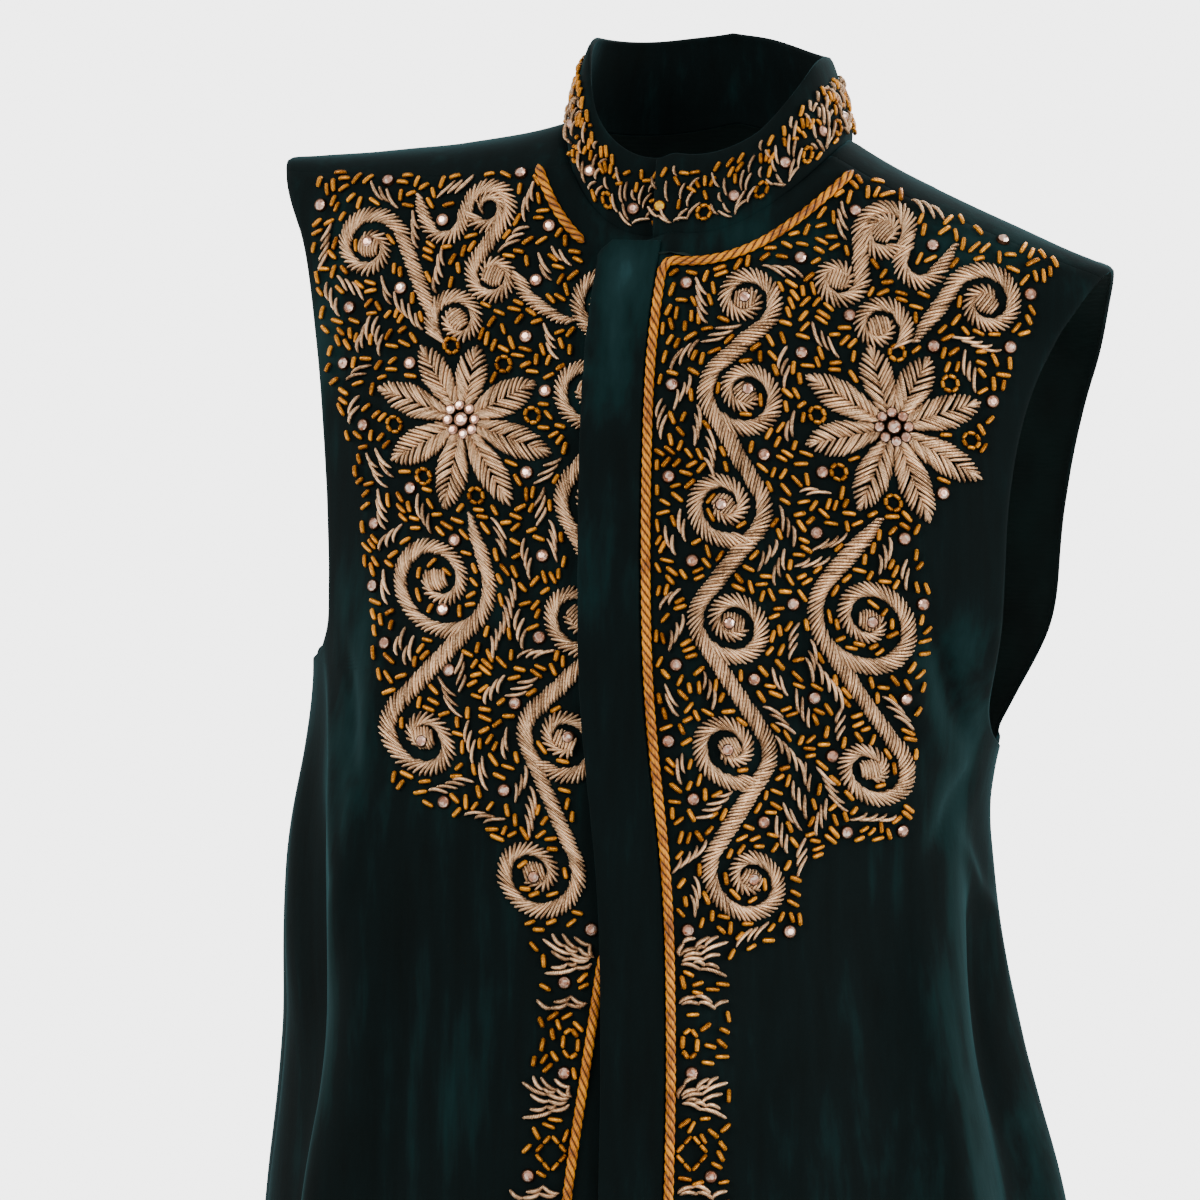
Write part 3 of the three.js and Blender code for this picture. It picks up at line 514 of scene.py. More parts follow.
def spline(values, t, corners):      # a smooth curve through values, broken at its corners
    i = min(int(t), len(values) - 2)
    low = max([c for c in corners if c <= i] + [0])
    high = min([c for c in corners if c > i] + [len(values) - 1])
    f = t - i
    a, b = values[i], values[i + 1]
    before = values[i - 1] if i - 1 >= low else 2 * a - b
    after = values[i + 2] if i + 2 <= high else 2 * b - a
    m0, m1 = (b - before) / 2, (after - a) / 2
    return (a * (2 * f ** 3 - 3 * f * f + 1) + m0 * (f ** 3 - 2 * f * f + f)
            + b * (3 * f * f - 2 * f ** 3) + m1 * (f ** 3 - f * f))


def edgeTuck(across, along, bottom=True):      # the cloth turns under at its edges
    tuck = 0.0
    for far in (across, 1 - across):
        tuck += exp(-(far / 0.010) ** 2)
    if bottom:
        tuck += exp(-((1 - along) / 0.004) ** 2)
    return -1.0 * min(tuck, 1.3)


def addThickness(piece, thick, edge):
    solid = piece.modifiers.new("thickness", "SOLIDIFY")
    solid.thickness = thick * 0.001
    solid.offset = -1
    solid.material_offset = 1
    solid.material_offset_rim = 0
    bevel = piece.modifiers.new("edge", "BEVEL")
    bevel.width = edge * 0.001
    bevel.segments = 2
    bevel.limit_method = "ANGLE"
    bevel.use_clamp_overlap = True
    bevel.angle_limit = radians(50)


def clothPiece(name, bm, node, area=None, thick=panel["thick"], edge=0.5, inside=None):
    piece = addPiece(name, bm, [velvet, inside or velvetBack], [node])
    paintPileSheen(piece)
    addThickness(piece, thick, edge)


def makeVelvet():
    # Silk velvet: a dense cut pile on a plain woven ground. The pile swallows light face on and glows teal
    # at a slant, and streaks where it has been stroked down the length of the cloth.
    material, tree, coords = newMaterial("silkVelvet")
    stroke = addNode(tree, "Mapping", {"Scale": (110, 110, 12)}, {"Vector": coords["Object"]})
    nap = addNode(tree, "TexNoise", {"Scale": 1.0, "Detail": 5, "Roughness": 0.6},
                  {"Vector": stroke.outputs["Vector"]})
    broad = addNode(tree, "TexNoise", {"Scale": 14.0, "Detail": 3, "Roughness": 0.55},
                    {"Vector": coords["Object"]})
    mixed = addNode(tree, "Math", {"operation": "MULTIPLY_ADD", 1: 0.5},
                    {0: broad.outputs["Fac"], 2: nap.outputs["Fac"]})
    # painted sheen: the paler patches and crease flanks kept on the mesh, mixed into the colour
    sheenAttribute = addNode(tree, "Attribute", {"attribute_name": "nap"})
    both = addNode(tree, "Math", {"operation": "ADD"},
                   {0: mixed.outputs["Value"], 1: sheenAttribute.outputs["Fac"]})
    half = addNode(tree, "Math", {"operation": "MULTIPLY", 1: 0.5}, {0: both.outputs["Value"]})
    # its upper teal stops are reached where the painted sheen lifts the colour
    tone = addNode(tree, "ValToRGB", {"stops": [(0.22, "#020706"), (0.4, "#030d0d"), (0.53, "#051b1b"),
                                                (0.75, "#102728"), (0.95, "#1e3b3e")]},
                   {"Fac": half.outputs["Value"]})
    # pile tufts of about 0.35 mm, drawn at 1.1 mm so that they show
    tufts = addNode(tree, "TexNoise", {"Scale": 900.0, "Detail": 2, "Roughness": 0.6},
                    {"Vector": coords["Object"]})
    high = addNode(tree, "Math", {"operation": "MULTIPLY_ADD", 1: 0.35},
                   {0: tufts.outputs["Fac"], 2: nap.outputs["Fac"]})
    bump = addNode(tree, "Bump", {"Strength": 0.35, "Distance": 0.0006}, {"Height": high.outputs["Value"]})
    shader = addNode(tree, "BsdfPrincipled", {
        "Roughness": 0.92, "Specular IOR Level": 0.12, "IOR": 1.45,
        "Sheen Weight": 0.42, "Sheen Roughness": 0.27, "Sheen Tint": srgb("#2a8088"),
    }, {"Base Color": tone.outputs["Color"], "Normal": bump.outputs["Normal"]})
    finishMaterial(tree, shader)
    return material


def makeVelvetBack():
    # Plain woven ground of the velvet: flat and a little paler, with no pile
    material, tree, coords = newMaterial("velvetBackPlainWeave")
    across = addNode(tree, "TexWave", {"Scale": 160.0, "Distortion": 0.6, "bands_direction": "Z"},
                     {"Vector": coords["Object"]})      # yarns of 0.3 mm, drawn at 2 mm
    cloudy = addNode(tree, "TexNoise", {"Scale": 30.0, "Detail": 4}, {"Vector": coords["Object"]})
    tone = addNode(tree, "ValToRGB", {"stops": [(0.3, "#071614"), (0.7, "#0d2421")]},
                   {"Fac": cloudy.outputs["Fac"]})
    bump = addNode(tree, "Bump", {"Strength": 0.25, "Distance": 0.0003}, {"Height": across.outputs["Fac"]})
    shader = addNode(tree, "BsdfPrincipled", {"Roughness": 0.8, "Specular IOR Level": 0.25},
                     {"Base Color": tone.outputs["Color"], "Normal": bump.outputs["Normal"]})
    finishMaterial(tree, shader)
    return material


velvet, velvetBack = makeVelvet(), makeVelvetBack()
print("velvet ready")


def frontCloth(side):
    spot = []

    def place(across, along):
        i, j = across * allColumns, along * allRows
        angle, z = frontPlace(side, i, j)
        spot[:] = [angle, z]
        x = widthAt(z) * sin(radians(angle))
        lift = (leftLift(x, z) if side > 0 else 0) + edgeTuck(across, along)
        return clothPoint(angle, z, lift)
    return place, lambda across, along: creaseFlankSheen(*spot)


def backCloth(side):
    grid = backGrid(side)
    last, corner = len(grid) - 1, 7
    spot = []

    def overRidge(i, t):      # the two rows on either side of the shoulder's ridge
        k = min(int(i), allColumns - 1)
        ends = []
        for row in (2, 3):
            angle, z = (lerp(grid[row][k][n], grid[row][k + 1][n], i - k) for n in (0, 1))
            x = widthAt(z) * sin(radians(angle))
            ends.append((x, ridge(x) - z))
        x, drop = lerp(ends[0][0], ends[1][0], t), lerp(-ends[0][1], ends[1][1], t)
        z = ridge(x) - abs(drop)
        return (backAngle(x, z) if drop > 0 else frontAngle(x, z)), z

    def place(across, along):
        i, j = across * allColumns, along * last
        if 2 < j < 3:
            angle, z = overRidge(i, j - 2)
        else:
            k = min(int(i), allColumns - 1)
            ends = [[spline([row[c][n] for row in grid], j, (2, 3, corner)) for n in (0, 1)]
                    for c in (k, k + 1)]
            angle, z = (lerp(ends[0][n], ends[1][n], i - k) for n in (0, 1))
        onNeck = j < corner      # the centre back is no edge, and the neck is
        tuck = edgeTuck(across if onNeck or across > 0.5 else 0.5, along)
        spot[:] = [angle, z]
        return clothPoint(angle, z, tuck)
    return place, lambda across, along: creaseFlankSheen(*spot)


def makePanels():
    for side, name, area in ((1, "Left", 0.182), (-1, "Right", 0.171)):
        bm = gridMesh(panel["columns"], panel["rows"], *frontCloth(side))
        if side > 0:
            bmesh.ops.reverse_faces(bm, faces=bm.faces)
        clothPiece("velvetFront" + name, bm, "front_" + name.lower(), area)
    bm = gridMesh(panel["columnsBack"], panel["rowsBack"], *backCloth(-1))
    bmesh.ops.reverse_faces(bm, faces=bm.faces)
    gridMesh(panel["columnsBack"], panel["rowsBack"], *backCloth(1), bm)
    bmesh.ops.remove_doubles(bm, verts=bm.verts, dist=0.0002)
    clothPiece("velvetBackPanel", bm, "back", 0.371)


makePanels()
print("panels made")


# The stand collar: one strip round the neck, its left end over its right end
collar = {
    "front": 40, "back": 46, "ease": 2.2, "lean": 11, "more": 4, "thick": 2.4, "columns": 200, "rows": 16,
    "start": -7, "end": 376,      # degrees round the neck: the left end laps over the right
}


def collarBase(around):
    side, own = (-1, -around) if around < 0 else (1, around)
    if around > 180:
        side, own = (-1, 360 - around) if around <= 360 else (1, around - 360)
    x, z, behind = neckCurve(own, -0.3)
    x *= side
    lift = leftLift(x, z) if around < 180 else 0
    angle = backAngle(x, z) if behind else frontAngle(x, z)
    return bodyPoint(angle, z) + bodyNormal(angle, z) * lift, own


def collarPoint(around, level, lift=0.0):
    point, own = collarBase(around)
    before, after = collarBase(around - 1.5)[0], collarBase(around + 1.5)[0]
    outward = Vector((after.y - before.y, before.x - after.x, 0)).normalized()
    lean = radians(collar["lean"] + collar["more"] * level)
    up = Vector((0, 0, cos(lean))) - outward * sin(lean)
    normal = Vector((0, 0, sin(lean))) + outward * cos(lean)
    high = lerp(collar["front"], collar["back"], (1 - cos(radians(own))) / 2)
    high = (high - collar["ease"] * exp(-((180 - own) / 15) ** 2)) * level      # no peak at the centre back
    return point + up * high + normal * lift


def collarWave(around, level):      # interlined velvet stands stiff, with a slight wave
    return 0.5 * noise(Vector((around / 24, level * 1.3, 2.0))) - 0.9 * exp(-((1 - level) / 0.05) ** 2) \
        - 0.8 * exp(-(level / 0.05) ** 2)


def makeCollar():
    def place(across, along):
        around = lerp(collar["start"], collar["end"], across)
        # its ends are rounded
        trim = 0.06 * (1 - smooth(across / 0.02)) + 0.06 * (1 - smooth((1 - across) / 0.02))
        level = lerp(-0.07, 1 - trim, along)
        sewnIn = 1.1 * (1 - smooth((level + 0.07) / 0.09))      # its base is sewn inside the neck edge
        return collarPoint(around, level, collarWave(around, max(level, 0)) - sewnIn)

    bm = gridMesh(collar["columns"], collar["rows"], place)
    clothPiece("velvetCollar", bm, "collar", 0.0182, collar["thick"], 0.7, velvet)


makeCollar()


# The plain band that covers the fastening, folded at both long edges and sewn on
band = {"inner": -3.0, "outer": -33.0, "corner": 6, "thick": 1.6, "columns": 22, "rows": 260}
bandCreases = [      # height of the middle, half height, slant, depth
    (-84, 5, 0.1, 0.3), (-108, 2.6, 0.14, 0.6), (-115, 2.8, 0.1, -0.5), (-131, 2.4, -0.12, 0.55),
    (-137, 3.0, -0.1, -0.45), (-168, 4, 0.06, -0.3), (-203, 2.4, 0.12, 0.5), (-210, 3, 0.16, -0.45),
    (-262, 5, -0.1, -0.35),
]


def bandPoint(across, along):
    z = lerp(placket["bandTop"], hemZ, along)
    cut = band["corner"] * clamp(1 - (placket["bandTop"] - z) / band["corner"]) ** 0.8
    x = lerp(band["outer"] + cut, band["inner"], across)
    edge = min(across, 1 - across) * 30
    full = 0.35 * (1 - exp(-edge / 2.2)) - 0.3 + 0.25 * noise(Vector((x / 9, z / 26, 5)))
    full += 0.25 * exp(-(edge / 2.0) ** 2) * sin(z / 3.7 + 3 * noise(Vector((0, z / 40, 1))))
    for high, tall, slant, deep in bandCreases:
        full += deep * exp(-((z - high - slant * (x + 18)) / tall) ** 2) * (0.4 + 0.6 * across)
    return frontPoint(x, z, True, 0.35 + band["thick"] + full)


def makeBand():
    bm = gridMesh(band["columns"], band["rows"], bandPoint)
    bmesh.ops.reverse_faces(bm, faces=bm.faces)
    clothPiece("velvetPlacketBand", bm, "placket_band", None, band["thick"], 0.6)


makeBand()
print("collar and band made")


# Twisted cords, sewn down flat: three strands round one another
cord = {"strands": 3, "pitch": 14.4, "offset": 1.15, "radius": 1.28, "flat": 0.72, "step": 1.2, "sides": 8}


def makeCordGold():
    # Rayon cord of twisted yarns, dyed marigold: silky, with a soft highlight along every strand, partly from
    # its gloss
    # and partly painted: each strand is painted paler where it faces out and darker where it turns into the
    # grooves
    material, tree, coords = newMaterial("twistedRayonCord")
    yarns = addNode(tree, "Mapping", {"Scale": (3.0, 150.0, 1.0)},
                    {"Vector": coords["UV"]})
    # yarns of 0.4 mm, drawn at 1.4 mm on the placket's cord, 1.1 mm on the edge's and 0.2 mm on the short one
    ply = addNode(tree, "TexWave", {"Scale": 1.0, "Distortion": 1.2, "bands_direction": "DIAGONAL"},
                  {"Vector": yarns.outputs["Vector"]})
    worn = addNode(tree, "TexNoise", {"Scale": 120.0, "Detail": 3}, {"Vector": coords["Object"]})
    mixed = addNode(tree, "Math", {"operation": "MULTIPLY_ADD", 1: 0.15},
                    {0: ply.outputs["Fac"], 2: worn.outputs["Fac"]})
    grooveShade = addNode(tree, "Attribute", {"attribute_name": "tone"})      # painted shade: darker where strands meet
    deep = addNode(tree, "Math", {"operation": "MULTIPLY"},
                   {0: mixed.outputs["Value"], 1: grooveShade.outputs["Fac"]})
    # its dark stop is the painted shade in the grooves between strands
    tone = addNode(tree, "ValToRGB", {"stops": [(0.06, "#241000"), (0.4, "#9a5304"), (0.7, "#e0900f")]},
                   {"Fac": deep.outputs["Value"]})
    bump = addNode(tree, "Bump", {"Strength": 0.5, "Distance": 0.0003}, {"Height": ply.outputs["Fac"]})
    shader = addNode(tree, "BsdfPrincipled", {"Roughness": 0.42, "Specular IOR Level": 0.3, "IOR": 1.5},
                     {"Base Color": tone.outputs["Color"], "Normal": bump.outputs["Normal"]})
    finishMaterial(tree, shader)
    return material


cordGold = makeCordGold()


def resample(points, step):      # places at even steps along a line of tuples
    made, run = [points[0]], 0.0
    for a, b in zip(points, points[1:]):
        length = dist(a[:2], b[:2])
        at = step - run
        while at <= length and length > 0:
            made.append(tuple(lerp(p, q, at / length) for p, q in zip(a, b)))
            at += step
        run = (run + length) % step if length > 0 else run
    return made


def twistedCord(name, nodes, places, left):
    line = resample(places, cord["step"])
    height = 0.35 + cord["radius"] * cord["flat"] * 1.45
    points = [frontPoint(x, z, left, height) for x, z in line]
    normals = [bodyNormal(frontAngle(x, z), z) for x, z in line]
    bm = bmesh.new()
    count = len(points) - 1
    frames = []
    for k in range(count + 1):
        along = (points[min(k + 1, count)] - points[max(k - 1, 0)]).normalized()
        across = normals[k].cross(along).normalized()
        frames.append((along, across, along.cross(across)))
    for strand in range(cord["strands"]):
        phase = strand * 2 * pi / cord["strands"]

        def centre(k):
            turned = phase - 2 * pi * k * cord["step"] / cord["pitch"]
            _along, across, up = frames[k]
            fade = smooth(min(k, count - k) / 3)
            return points[k] + across * cos(turned) * cord["offset"] * fade \
                + up * sin(turned) * cord["offset"] * cord["flat"] * fade

        def place(around, along):
            k = round(along * count)
            here = centre(k)
            ahead = (centre(min(k + 1, count)) - centre(max(k - 1, 0))).normalized()
            across = frames[k][2].cross(ahead).normalized()
            up = ahead.cross(across)
            turned = -around * 2 * pi
            size = cord["radius"] * (0.25 + 0.75 * smooth(min(k, count - k) / 1.5))
            return here + across * cos(turned) * size + up * sin(turned) * size * 0.9

        def mark(around, along):      # how far this side of the strand faces out from the cord: painted highlight and shade
            k = round(along * count)
            facing = cos(-around * 2 * pi - phase + 2 * pi * k * cord["step"] / cord["pitch"])
            return smooth((facing + 0.15) / 0.85)

        gridMesh(cord["sides"], count, place, mark, bm)
    bmesh.ops.remove_doubles(bm, verts=bm.verts, dist=0.00002)
    bmesh.ops.holes_fill(bm, edges=[e for e in bm.edges if e.is_boundary], sides=cord["sides"] + 1)
    bmesh.ops.recalc_face_normals(bm, faces=bm.faces)
    addPiece(name, bm, [cordGold], nodes)


def makeCords():
    below = placket["neckDrop"]
    top = {side: neckAtSeam(seamDrop[side][0] + more, below) for side, more in ((1, 2), (-1, -3))}
    neck = [neckCurve(lerp(top[1], 3.5, k / 60), below)[:2] for k in range(61)]
    cornerZ = neck[-1][1]
    bend = [(x, cornerZ - down) for x, down in ((4.4, 0.1), (2.6, 0.8), (1.1, 2.4), (0.2, 4.8), (0, 8))]
    down = [(0, lerp(cornerZ - 12, hemZ, k / 80)) for k in range(81)]
    twistedCord("cordNeckAndPlacket", ["neck_cord_left", "placket_cord"], neck[:-1] + bend + down, True)
    right = [neckCurve(lerp(top[-1], 30, k / 40), below) for k in range(41)]
    twistedCord("cordNeckRight", ["neck_cord_right"], [(-x, z) for x, z, _behind in right], False)
    edge = [(rightCord(z), z) for z in [lerp(placket["edgeTop"] - 3, hemZ, k / 80) for k in range(81)]]
    twistedCord("cordEdgeRight", ["edge_cord"], edge, False)


makeCords()
print("cords made")


# Embroidery. Each scroll winds round a circle: centre, radius, way round (1 is anticlockwise), turns of its
# curl. Each free end of a stem runs out thin.
innerScrolls = [(42, -86, 15, -1, 1.25), (46, -131, 18.5, 1, 1.35), (37, -185, 18.5, -1, 1.35),
                (41, -240, 17.5, 1, 1.35), (36, -300, 19, -1, 1.35), (41, -364, 21.5, 1, 1.4)]
lowerScrolls = [(105, -229, 25, 1, 1.45), (104, -303, 19, -1, 1.35)]
upperScrolls = [(154, -68, 17, -1, 1.35)]
shoulderScrolls = [(84, -69, 11, 1, 1.15), (101, -43, 11, -1, 1.15), (121, -54, 9, 1, 0)]
rightLowerScrolls = [(-104, -233, 26, -1, 1.45), (-110, -308, 18, 1, 1.3)]
rightUpperScrolls = [(-150, -78, 18, 1, 1.35)]
rightShoulderScrolls = [(-84, -82, 12, -1, 1.2), (-93, -50, 10, 1, 1.1), (-114, -58, 9, -1, 0)]
flowers = {1: (116, -135, 68), -1: (-93, -154, 80)}      # centre, and the first petal's angle
flowerShape = {"petals": 8, "reach": 43, "root": 8.5, "slant": 37, "pitch": 2.1, "thick": 1.8, "height": 2.7}
stem = {"width": 7.8, "pitch": 2.15, "slant": 40, "thick": 1.7, "height": 2.3, "curlEnd": 4, "taper": 14,
        "sink": 0.35}
bud = {"strands": 7, "gap": 1.45, "half": 5.4, "reach": 6, "thick": 1.7, "height": 2.4, "sink": -0.5,
       "least": 10.5}      # least radius of a curl that carries one
sprig = {"long": 11.5, "wide": 1.9, "height": 2.1, "step": 4.4, "aside": 1.5}


def curlLine(circle, start, step=1.2):
    cx, cz, radius, turn, curl = circle
    steps = max(2, ceil(curl * 2 * pi * radius * 0.62 / step))
    made = []
    for i in range(steps + 1):
        t = i / steps
        around = start + turn * curl * 2 * pi * t
        size = lerp(radius, stem["curlEnd"], t ** 0.85)
        made.append((cx + size * cos(around), cz + size * sin(around), lerp(1, 0.6, t * t)))
    return made


def vineLines(circles, start=None, end=None, step=1.2):
    curls, line = [], []

    def onCircle(circle, around):
        return circle[0] + circle[2] * cos(around), circle[1] + circle[2] * sin(around), 1.0

    def heading(a, b):
        wound = lambda c: c[3] * c[2] if len(c) > 2 else 0
        across, far = wound(b) - wound(a), hypot(b[0] - a[0], b[1] - a[1])
        return atan2(b[1] - a[1], b[0] - a[0]) - asin(clamp(across / far, -1, 1))

    def addLine(to):
        last = line[-1]
        steps = max(1, round(hypot(to[0] - last[0], to[1] - last[1]) / step))
        line.extend((lerp(last[0], to[0], i / steps), lerp(last[1], to[1], i / steps), 1.0)
                    for i in range(1, steps + 1))

    arrive = None
    if start:
        line.append((start[0], start[1], 1.0))
        arrive = heading(start, circles[0]) - circles[0][3] * pi / 2
        addLine(onCircle(circles[0], arrive))
    for k, circle in enumerate(circles):
        following = circles[k + 1] if k + 1 < len(circles) else end
        if following is None:
            line.extend(curlLine(circle, arrive)[1:])
            break
        way = heading(circle, following)
        leave = way - circle[3] * pi / 2
        if arrive is None:
            line.extend(reversed(curlLine(circle[:3] + (-circle[3], circle[4]), leave)))
        else:
            sweep = ((leave - arrive) * circle[3]) % (2 * pi)
            steps = max(1, round(sweep * circle[2] / step))
            line.extend(onCircle(circle, arrive + circle[3] * sweep * i / steps) for i in range(1, steps + 1))
            if circle[4] > 0:
                curls.append(curlLine(circle, leave))
        turn = following[3] if len(following) > 2 else 0
        arrive = way - turn * pi / 2
        addLine(onCircle(following, arrive) if len(following) > 2 else following)
    for free, order in ((start, line), (end, line[::-1])):      # a free end runs out thin
        if free:
            for k in range(ceil(stem["taper"] / step)):
                x, z, wide = order[k]
                order[k] = (x, z, wide * (0.35 + 0.65 * smooth(k * step / stem["taper"])))
            line = order if free is start else order[::-1]
    return [line] + curls


def mirroredScrolls(circles):
    return [(rightCord(z) - x, z, radius, -turn, curl) for x, z, radius, turn, curl in circles]


curls = {1: innerScrolls + lowerScrolls + upperScrolls + shoulderScrolls,
         -1: mirroredScrolls(innerScrolls) + rightLowerScrolls + rightUpperScrolls + rightShoulderScrolls}
# A curl beside each flower, and the angle at which it starts
besideFlower = {1: (106, -88, 13.5, 1, 1.15), -1: (-99, -106, 14.5, -1, 1.25)}
besideStart = {1: -0.5, -1: 3.95}
shoulderTail = [
    (-72, -80, 0.8), (-67, -88, 0.9), (-58, -94, 0.85), (-49, -98, 0.7), (-42, -99, 0.5),
]
vines = {
    1: [vineLines(innerScrolls), vineLines(lowerScrolls, (110, -180)), vineLines(upperScrolls, (124, -92)),
        vineLines(shoulderScrolls, None, (135, -44))],
    -1: [vineLines(mirroredScrolls(innerScrolls)), vineLines(rightLowerScrolls, (-88, -199)),
         vineLines(rightUpperScrolls, (-109, -112)), vineLines(rightShoulderScrolls, None, (-130, -48))],
}


def makeMetalThread(name, dark, middle, bright, coils, rough):
    # Bullion: a fine gilt wire wound into a soft spring, cut to length and sewn down like a bead. Its
    # windings sparkle across each strand, the sparkle painted into its colour as small bright spots (painted
    # glints), and every strand catches the light on its own, painted as its own tone together with its
    # tarnish.
    material, tree, coords = newMaterial(name)
    wound = addNode(tree, "Mapping", {"Scale": (0.35, coils, 1.0)}, {"Vector": coords["UV"]})
    windings = addNode(tree, "TexWave", {
        "Scale": 1.0, "Distortion": 0.35, "Detail": 1.0, "bands_direction": "Y",
    }, {"Vector": wound.outputs["Vector"]})
    # painted glints: bright spots in the wire's colour that stand in for its sparkle
    paintedSparkle = addNode(tree, "TexNoise", {"Scale": 700.0, "Detail": 3, "Roughness": 0.75},
                      {"Vector": coords["Object"]})
    tarnish = addNode(tree, "TexNoise", {"Scale": 60.0, "Detail": 3}, {"Vector": coords["Object"]})
    own = addNode(tree, "Attribute", {"attribute_name": "tone"})
    total = addNode(tree, "Math", {"operation": "MULTIPLY", 1: 0.3}, {0: own.outputs["Fac"]})
    for source, weight in ((windings, 0.4), (paintedSparkle, 0.7), (tarnish, 0.25)):
        total = addNode(tree, "Math", {"operation": "MULTIPLY_ADD", 1: weight},
                        {0: source.outputs["Fac"], 2: total.outputs["Value"]})
    tone = addNode(tree, "ValToRGB", {"stops": [(0.6, dark), (0.78, middle), (0.95, bright)]},
                   {"Fac": total.outputs["Value"]})
    bump = addNode(tree, "Bump", {"Strength": 0.6, "Distance": 0.0003}, {"Height": windings.outputs["Fac"]})
    shader = addNode(tree, "BsdfPrincipled", {"Metallic": 0.85, "Roughness": rough},
                     {"Base Color": tone.outputs["Color"], "Normal": bump.outputs["Normal"]})
    finishMaterial(tree, shader)
    return material


# Windings of 0.3 mm are drawn at 0.3 to 0.5 mm, and their sparkle as painted glints in spots of 1.4 mm, so
# that it shows
bullion = makeMetalThread("champagneBullion", "#3f2716", "#b78659", "#fbd3a8", 9, 0.28)
checkGold = makeMetalThread("marigoldBullion", "#451c00", "#b36206", "#f6a730", 5, 0.3)


# One strand: a grid closed into a tube that rises from the cloth and dips back into it. Unit long, one wide.
def strandMesh(name, sides, rings, arch, bow=0.0, tip=0.45, bend=0.0):
    def place(around, along):
        run = -cos(pi * along)
        size = (1 - (1 - tip) * abs(run) ** 6) * 0.5
        if abs(run) > 0.999:
            size *= 0.45
        turned = -around * 2 * pi
        lift = arch * (1 - run * run)
        aside = bow * (run ** 3 - run) + bend * (1 - run * run)
        return Vector((run * 0.5, aside + cos(turned) * size, lift + sin(turned) * size)) * 1000

    bm = gridMesh(sides, rings, place)
    bmesh.ops.remove_doubles(bm, verts=bm.verts, dist=0.0001)
    bmesh.ops.holes_fill(bm, edges=[e for e in bm.edges if e.is_boundary], sides=sides + 1)
    bmesh.ops.recalc_face_normals(bm, faces=bm.faces)
    tones = bm.verts.layers.float.get("tone")      # each cut of wire has its own tone: its own tarnish, and painted light for how the strand catches the light
    made = []
    for tone in (0.15, 0.4, 0.55, 0.7, 0.95):
        for vert in bm.verts:
            vert[tones] = tone
        mesh = bpy.data.meshes.new(name)
        bm.to_mesh(mesh)
        made.append(mesh)
    bm.free()
    return made


strands = {
    "stem": strandMesh("strandStem", 6, 7, 0.75, 0.22),
    "petal": strandMesh("strandPetal", 6, 6, 0.6),
    "slim": strandMesh("strandSlim", 6, 6, 0.6, 0.3, 0.5, 0.5),
    "check": strandMesh("strandCheck", 6, 5, 0.25, 0.0, 0.72),
}
toneChoice = random.Random(77)


def addStrand(bm, kind, a, b, normal, wide, high, sink):      # ends in mm, wide and high in mm
    along = b - a
    length = along.length
    along.normalize()
    across = normal.cross(along).normalized()
    up = along.cross(across)
    middle = (a + b) / 2 + up * (wide * 0.5 - sink)
    turned = Matrix((along * length, across * wide, up * high)).transposed().to_4x4() * 0.001
    turned.translation = middle * 0.001
    turned[3][3] = 1.0
    copy = toneChoice.choice(strands[kind]).copy()
    copy.transform(turned)
    bm.from_mesh(copy)
    bpy.data.meshes.remove(copy)


ink = {1: {}, -1: {}}      # what the drawing already covers, by cells of 8 mm


def addInk(side, x, z, reach):
    ink[side].setdefault((int(x // 8), int(z // 8)), []).append((x, z, reach))


def isFree(side, x, z, reach):
    cell, row = int(x // 8), int(z // 8)
    for i in range(cell - 2, cell + 3):
        for j in range(row - 2, row + 3):
            for ox, oz, other in ink[side].get((i, j), ()):
                if (x - ox) ** 2 + (z - oz) ** 2 < (reach + other) ** 2:
                    return False
    return True


def panelNormal(x, z):
    return bodyNormal(frontAngle(x, z), z)


def layStrand(bm, side, kind, a, b, wide, high, sink=0.1):      # between two places of the drawing
    left = side > 0
    normal = panelNormal((a[0] + b[0]) / 2, (a[1] + b[1]) / 2)
    addStrand(bm, kind, frontPoint(*a, left), frontPoint(*b, left), normal, wide, high, sink)


def strandEnds(x, z, slant, half):      # from its middle
    dx, dz = cos(slant) * half, sin(slant) * half
    return (x - dx, z - dz), (x + dx, z + dz)


def layVine(bm, side, line, skip, rng):
    stations = resample(line, stem["pitch"])[skip:]
    for k, (x, z, wide) in enumerate(stations):
        before, after = stations[max(k - 1, 0)], stations[min(k + 1, len(stations) - 1)]
        along = atan2(after[1] - before[1], after[0] - before[0])
        half = stem["width"] * wide / 2 / sin(radians(stem["slant"])) * rng.uniform(0.93, 1.07)
        slant = along - side * radians(stem["slant"] + rng.uniform(-4, 4))
        layStrand(bm, side, "stem", *strandEnds(x, z, slant, half), stem["thick"] * rng.uniform(0.92, 1.06),
                  stem["height"] * rng.uniform(0.9, 1.08), stem["sink"])
        addInk(side, x, z, stem["width"] * wide / 2)


def layBud(bm, side, x, z, rng):      # the fat head of a curl: level strands, raised over its end
    toward = rng.uniform(0.6, 2.2)
    for k in range(bud["strands"]):
        off = (k - (bud["strands"] - 1) / 2) * bud["gap"]
        half = bud["half"] * sqrt(1 - (off / bud["reach"]) ** 2) * rng.uniform(0.93, 1.07)
        ends = strandEnds(x - sin(toward) * off, z + cos(toward) * off, toward, half)
        layStrand(bm, side, "stem", *ends, bud["thick"], bud["height"], bud["sink"])
    addInk(side, x, z, 5)


petalMarks = [(0, 3.4), (.15, 5.2), (.35, 7.4), (.55, 8.2), (.75, 6.9), (.9, 4), (1, 0.8)]


def between(marks, t):      # a value between marks, on straight lines
    for (a, p), (b, q) in zip(marks, marks[1:]):
        if t <= b:
            return lerp(p, q, clamp((t - a) / (b - a)))
    return marks[-1][1]


